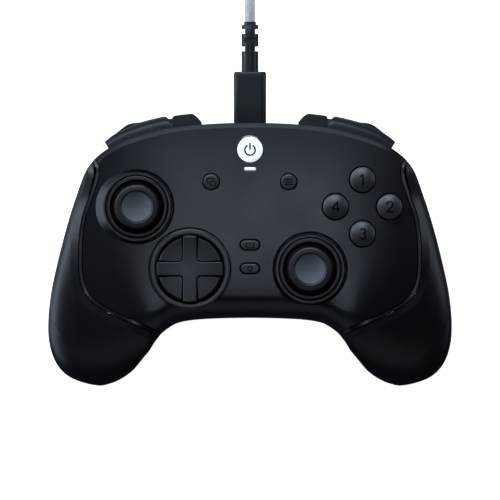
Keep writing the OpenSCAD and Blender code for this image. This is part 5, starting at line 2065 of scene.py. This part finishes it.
@dataclass
class Back:
    """Back keys, trigger stops and case screws."""

    layout: Layout
    belly_z: float
    key_out: float = 2.0
    stop_out: float = 0.6
    flange_z: Point = (22.5, 23.7)
    screw_z: float = 4.2

    def _key(self, name: str, at: Point) -> Object:
        """Back key with a round edge and a hollowed finger face.

        Args:
            name: Name of the piece.
            at: Its middle.

        Returns:
            The piece.
        """
        low = self.belly_z - self.key_out
        outline = stadium(*self.layout.back)[:, ::-1][::-1]
        seat, top = self.flange_z
        levels = [(1.4, low + 0.22), (0.95, low + 0.08), (0.6, low + 0.05), (0.3, low + 0.18),
                  (0.1, low + 0.45), (0, low + 0.9), (0, seat), (-1.1, seat), (-1.1, top)]
        return Solid().prism(outline, levels, (*at, 0)).piece(name, 40)

    def _stop(self, name: str, side: Side) -> Object:
        """Slider with three ribs.

        Args:
            name: Name of the piece.
            side: Which hand.

        Returns:
            The piece.
        """
        lay, low = self.layout, self.belly_z - self.stop_out
        x = side.value * (lay.stop_at[0] - lay.stop_travel / 2)
        at = (x, lay.stop_at[1], 0)
        levels = [(0.35, low), (0.1, low + 0.12), (0, low + 0.35), (0, self.flange_z[1])]
        piece = Solid().prism(stadium(*lay.stop), levels, at).piece(name, 40)
        cuts = Solid()
        for k in (-1.5, -0.5, 0.5, 1.5):
            cuts.box((x + k - 0.22, at[1] - 3, low - 1), (x + k + 0.22, at[1] + 3, low + 0.3))
        shape(piece, cuts, Cut.REMOVE)
        return piece

    def _screws(self, finishes: Finishes) -> Object:
        """Case screws, repeated on their four places.

        Args:
            finishes: The materials.

        Returns:
            The piece.
        """
        head = [(0, 0), (2.3, 0), (2.52, 0.12), (2.6, 0.4), (2.6, 1.8)]
        thread = [(1.3, 1.8), (1.3, 14), (1.0, 15), (0, 15)]
        screw = Solid().lathe(head + thread, segments=48).piece("case_screw.one", 30)
        shape(screw, Solid().box((-1.5, -0.32, -1), (1.5, 0.32, 1.1)), Cut.REMOVE)
        shape(screw, Solid().box((-0.32, -1.5, -1), (0.32, 1.5, 1.1)), Cut.REMOVE)
        made = Repeat("screw_tree")
        made.close(Points=made.entry.outputs["Geometry"])
        lay, z = self.layout, self.screw_z
        places = ((lay.grip_screw, z), (lay.top_screw, self.belly_z + z))
        spots = [(s.value * x * MM, y * MM, z * MM) for s in Side for (x, y), z in places]
        mesh = bpy.data.meshes.new("case_screw_heads")
        mesh.from_pydata(spots, [], [])
        obj = made.run(linked(mesh.name, mesh), screw, finishes.dull, len(spots))
        bpy.data.objects.remove(screw)
        return obj

    def build(self, finishes: Finishes) -> None:
        """Makes and dresses the pieces of the underside.

        Args:
            finishes: The materials.
        """
        for side in Side:
            for word, (x, y) in zip(("high", "low"), self.layout.back_at):
                node = f"{side.word}_back_button_{word}"
                fit(self._key(f"{node}_cap", (side.value * x, y)), node, "key", finishes.key, node)
            node = f"{side.word}_trigger_stop"
            fit(self._stop(f"{node}_slider", side), node, "key", finishes.key, node)
        fit(self._screws(finishes), "chassis", "metal", finishes.dull, "case_screws")


# Lead and inside


@dataclass
class Lead:
    """Plug, strain relief, braided cord and far plug."""

    port_z: float
    diameter: float = 4.1
    plug_y: float = 50.6
    plug: tuple[float, float, float] = (12.8, 20.0, 7.0)
    relief_r: float = 3.3
    relief_l: float = 19.8
    notches: tuple[Point, Point] = ((8.1, 10.0), (15.0, 16.9))
    notch_x: float = 2.05
    slot: Point = (11.5, 13.5)
    slot_z: float = 2.25
    coil_out: float = 37.4
    coil_turns: float = 3.625
    coil_layers: int = 4
    coil_dip: float = 1.2
    far_z: float = 4.25
    far_relief: float = 13.0
    far_plug: tuple[float, float, float] = (15.0, 28.0, 8.4)
    sides: int = 14

    @staticmethod
    def _drop(line: Sequence[Point], start: float, high: float, low: float) -> Array:
        """Route straight along +Y that comes down.

        Args:
            line: Distance along the table and share of the height.
            start: Where it starts along Y.
            high: Height at the start.
            low: Height at the end.

        Returns:
            Points, close together.
        """
        u = np.linspace(0, len(line) - 1, 4 * len(line) - 3)
        fine = spline(line, u, line[0], line[-1])
        return beside(np.zeros(len(u)), start + fine[:, 0], between(low, high, fine[:, 1]))

    def _coil(self, y: float, low: float, step: float) -> Array:
        """Points of the coil, wound in and out by layers.

        Args:
            y: Where the cord joins it along Y.
            low: Height of the first layer.
            step: Distance between turns and between layers.

        Returns:
            Points, close together.
        """
        span = self.coil_turns + 0.5
        total = self.coil_layers * self.coil_turns + (self.coil_layers - 1) / 2
        t = np.linspace(0, total, math.ceil(total * 48) + 1)
        layer = np.minimum(np.floor(t / span), self.coil_layers - 1)
        run = t - layer * span
        climb = np.maximum(0, run - self.coil_turns) / 0.5
        near = np.minimum(run, self.coil_turns)
        inwards = layer % 2 == 0
        r = self.coil_out - step * np.where(inwards, near, self.coil_turns - near)
        r = r + np.where(inwards, -1, 1) * self.coil_dip * np.sin(np.pi * climb)
        z = low + step * (layer + ease(climb))
        return beside(r * np.cos(2 * np.pi * t) - self.coil_out, r * np.sin(2 * np.pi * t) + y, z)

    def route(self) -> Array:
        """Lays out the whole cord, from the strain relief to the far plug.

        Returns:
            Points, close together.
        """
        low, step = self.diameter / 2 + 0.1, self.diameter + 0.6
        lead = [(0, 1), (4.1, 1), (8.6, 0.976), (13.6, 0.9), (18.6, 0.771), (23.6, 0.599), (28.6, 0.4),
                (33.6, 0.222), (38.6, 0.098), (43.6, 0.028), (48.6, 0.002), (54.6, 0), (61.6, 0)]
        tail = [(0, 1), (8, 1), (16, 0.979), (22, 0.879), (28, 0.663), (34, 0.396), (40, 0.163), (46, 0.038),
                (52, 0), (58, 0)]
        first = self._drop(lead, self.plug_y + self.plug[1] + self.relief_l, self.port_z, low)
        coil = self._coil(first[-1, 1], low, step)
        last = self._drop(tail, first[-1, 1], coil[-1, 2], self.far_z)
        return np.vstack([first, coil[1:], last[1:]])

    def cord(self) -> tuple[Object, Array]:
        """Braided cord as a tube, with coordinates round and along it.

        Returns:
            The piece and the route that it follows.
        """
        route = self.route()
        n, m = len(route), self.sides
        run = np.gradient(route, axis=0)
        run /= np.linalg.norm(run, axis=1)[:, None]
        a = np.cross(run, [0, 0, 1])
        a /= np.linalg.norm(a, axis=1)[:, None]
        b = np.cross(a, run)
        x, y = circle(self.diameter / 2, m).T[:, :, None]
        rings = route[:, None] + a[:, None] * x + b[:, None] * y
        mesh = bpy.data.meshes.new("braided_cord")
        quads = grid_faces(n, m, True)
        faces = [q[::-1] for q in quads] + [tuple(range(m)), tuple(range((n - 1) * m, n * m))[::-1]]
        mesh.from_pydata((rings.reshape(-1, 3) * MM).tolist(), [], faces)
        length = np.concatenate([[0], np.cumsum(np.linalg.norm(np.diff(route, axis=0), axis=1))]) * MM
        uv = mesh.uv_layers.new(name=CORD_MAP)
        flat = []
        for k, face in enumerate(faces):
            wraps = k < len(quads) and k % m == m - 1
            for v in face:
                j = v % m
                flat += [(m if wraps and j == 0 else j) / m, length[v // m]]
        uv.data.foreach_set("uv", flat)
        clean(mesh, DOUBLED, True)
        obj = linked(mesh.name, mesh)
        smooth(obj, 60)
        return obj, route

    def housing(self) -> Object:
        """Plug housing with rounded sides.

        Returns:
            The piece.
        """
        w, length, t = self.plug
        levels = [(0.3, -0.26), (0.05, -0.15), (0, 0), (0, length - 0.9), (0.1, length - 0.45),
                  (0.35, length - 0.12), (0.8, length)]
        at = (0, self.plug_y, self.port_z)
        return Solid().bar(rounded_box(w, t, 2.2, 14), levels, at).piece("plug_shell", 30)

    def relief(self) -> Object:
        """Strain relief with notches on its sides and slots across its faces.

        Returns:
            The piece.
        """
        y = self.plug_y + self.plug[1]
        z, end = self.port_z, self.relief_l
        levels = [(0, 0), (0, end - 1.6), (0.12, end - 1.4), (0.4, end - 1.25), (0.92, end - 1.2),
                  (0.95, end - 0.2), (1.1, end)]
        obj = Solid().bar(circle(self.relief_r, 72), levels, (0, y, z)).piece("strain_relief_sleeve", 30)
        cuts = Solid()
        for low, high in self.notches:
            for side in Side:
                cuts.box((side.value * self.notch_x, y + low, z - 4), (side.value * 4, y + high, z + 4))
        for side in Side:
            cuts.box((-4, y + self.slot[0], z + side.value * self.slot_z),
                     (4, y + self.slot[1], z + side.value * 4))
        shape(obj, cuts, Cut.REMOVE)
        return obj

    def far_housing(self, y: float) -> Object:
        """Far plug's housing with its own relief.

        Args:
            y: Where the cord ends along Y.

        Returns:
            The piece.
        """
        w, length, t = self.far_plug
        at, root = (0, y, self.far_z), self.far_relief
        sleeve = [(0.9, 0), (0.5, 0.3), (0.4, 1), (0, root + 0.5)]
        piece = Solid().bar(circle(self.relief_r, 48), sleeve, at).piece("far_plug_shell", 30)
        end = root + length
        levels = [(1.0, root), (0.4, root + 0.25), (0, root + 1.2), (0, end - 0.5), (0.3, end)]
        shape(piece, Solid().bar(rounded_box(w, t, 2.4, 12), levels, at), Cut.JOIN, 30)
        cuts = Solid()
        for k in range(4):
            start = y + 2 + 2.6 * k
            for side in Side:
                cuts.box((side.value * 2.3, start, 0), (side.value * 4, start + 1.2, 9))
        shape(piece, cuts, Cut.REMOVE, 30)
        return piece

    def build(self, finishes: Finishes, nodes: Mapping[str, Object]) -> None:
        """Args:
            finishes: The materials.
            nodes: The solids by name. Not used.
        """
        cord, route = self.cord()
        fit(cord, "chassis", "cord", finishes.cord, "cable_lead", "cable_coil", "cable_tail")
        far = fit(self.far_housing(route[-1, 1]), "chassis", "shell", finishes.key, "far_plug_housing")
        fit(self.housing(), "chassis", "shell", finishes.shoulder, "plug_housing")
        fit(self.relief(), "chassis", "cord", finishes.stick, "strain_relief")
        length = float(np.linalg.norm(np.diff(route, axis=0), axis=1).sum()) * MM
        self.diameter * MM


@dataclass
class Inside:
    """Solids that stay as they are, under the shells and in the sockets."""

    metal: tuple[str, ...] = (
        "lead_socket", "plug_tip", "far_plug_tip", "trigger_axles", "rumble_motors", "left_motor_weight",
        "right_motor_weight", "left_stick_shaft", "right_stick_shaft", "left_stick_housing",
        "right_stick_housing")

    def build(self, finishes: Finishes, nodes: Mapping[str, Object]) -> None:
        """Gives every solid that still shows its material.

        Args:
            finishes: The materials.
            nodes: The solids by name.
        """
        # Solids not named here take the black key plastic: their own colour for the plastic parts, painted
        # shade for the direction pad's metal rocker, made black so that the gaps round the pad stay dark
        kinds = dict.fromkeys(self.metal, finishes.metal)
        kinds |= {"trigger_brackets": finishes.dull, "main_board": finishes.board}
        for name, obj in nodes.items():
            if obj.hide_render:
                continue
            obj.data.materials.clear()
            obj.data.materials.append(kinds.get(name, finishes.key))
            LOG.info("%s keeps its solid", name)


# Studio


@dataclass(frozen=True)
class Softbox:
    """Area light of one tint, with its sizes in metres."""

    name: str
    at: tuple[float, float, float]
    size: Point
    radiance: float
    colour: Colour = (0.83, 0.97, 1.16)

    def place(self, aim: Sequence[float]) -> None:
        """Adds the light, turned to a place.

        Args:
            aim: That place.
        """
        data = bpy.data.lights.new(self.name, "AREA")
        data.shape = "RECTANGLE"
        data.size, data.size_y = self.size
        data.energy = self.radiance * math.pi * self.size[0] * self.size[1]
        data.color = self.colour
        obj = linked(self.name, data)
        obj.location = self.at
        obj.rotation_euler = (Vector(aim) - Vector(self.at)).to_track_quat("-Z", "Y").to_euler()
        obj.visible_camera = False


@dataclass(frozen=True)
class Studio:
    """Pale floor, soft lights and the camera over the pad."""

    distance: float = 5.0
    view_w: float = 0.19802
    view_z: float = 0.04
    floor_half: float = 12.0
    floor_z: float = -0.0003
    floor_glow: float = 0.95
    sky: Colour = (0.5, 0.7, 1.3)
    sky_glow: float = 0.013
    lamps: tuple[Softbox, ...] = (
        Softbox("over", (0.0, 0.0, 1.3), (0.12, 0.12), 13.8),
        Softbox("key", (-1.06, 0.8, 0.6), (0.8, 0.7), 4.4),
        Softbox("top", (-0.08, 1.08, 0.92), (0.9, 0.7), 5.4),
        Softbox("left", (-0.87, 0.04, 0.15), (0.9, 0.28), 4.0),
        Softbox("right", (0.86, 0.22, 0.26), (0.6, 0.28), 2.3),
        Softbox("behind", (0.0, 1.0, 0.09), (1.2, 0.25), 1.5),
        Softbox("front", (0.0, -0.85, 0.38), (1.3, 0.75), 0.2))
    cards: tuple[Softbox, ...] = (
        Softbox("low_left_card", (-0.175, -0.065, 0.0005), (0.1, 0.1), 1.5),
        Softbox("low_right_card", (0.185, -0.055, 0.0005), (0.1, 0.08), 0.2),
        Softbox("left_card", (-0.13, 0.045, 0.0005), (0.08, 0.13), 0.6),
        Softbox("right_card", (0.13, 0.045, 0.0005), (0.08, 0.13), 0.15))

    def _floor(self) -> None:
        """Pale floor that keeps out of the gloss."""
        g = Graph("pale_floor")
        cloud = g.noise(900.0, 2.0)
        tone = g.tint(cloud, (0.8, 0.8, 0.8), (0.84, 0.84, 0.84))
        paper = g.finish(Base_Color=tone, Roughness=0.9, Specular_IOR_Level=0.0,
                         Emission_Color=(1, 1, 1, 1), Emission_Strength=self.floor_glow)
        h = self.floor_half
        mesh = bpy.data.meshes.new("floor")
        corners = [(x, y, self.floor_z) for x, y in ((-h, -h), (h, -h), (h, h), (-h, h))]
        mesh.from_pydata(corners, [], [(0, 1, 2, 3)])
        mesh.materials.append(paper)
        obj = linked("floor", mesh)
        obj.visible_glossy = obj.visible_shadow = False

    def camera(self) -> None:
        """Camera straight over the pad, as the photograph was taken."""
        data = bpy.data.cameras.new("camera")
        data.sensor_width = 36.0
        data.lens = 36.0 * self.distance / self.view_w
        data.clip_end = 50.0
        obj = linked("camera", data)
        obj.location = (0, 0, self.view_z + self.distance)
        bpy.context.scene.camera = obj

    def build(self) -> None:
        """Adds the floor, the world and the lights."""
        self._floor()
        world = bpy.data.worlds.new("room")
        world.use_nodes = True
        sky = world.node_tree.nodes["Background"]
        sky.inputs["Color"].default_value = (*self.sky, 1)
        sky.inputs["Strength"].default_value = self.sky_glow
        bpy.context.scene.world = world
        for lamp in self.lamps:
            lamp.place((0, 0, self.view_z))
        for card in self.cards:
            card.place((*card.at[:2], 1.0))
        bpy.context.scene.view_settings.view_transform = "Standard"


def main() -> None:
    """Builds the pad's looks round its solids."""
    logging.basicConfig(level=logging.INFO, format="%(name)s: %(message)s")
    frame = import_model()
    finishes = Finishes()
    studio = Studio()
    studio.camera()
    form, layout = PadForm(), Layout()
    Lead(layout.port_z).build(finishes, frame["nodes"])
    shoulders = Shoulders(form)
    Shells(form, layout, shoulders).build(finishes)
    shoulders.build(finishes)
    Sticks(layout).build(finishes)
    DirectionPad(layout, form.face_z).build(finishes)
    Keys(layout, form.face_z).build(finishes)
    Back(layout, form.belly_z).build(finishes)
    Inside().build(finishes, frame["nodes"])
    studio.build()


if __name__ == "__main__":
    main()
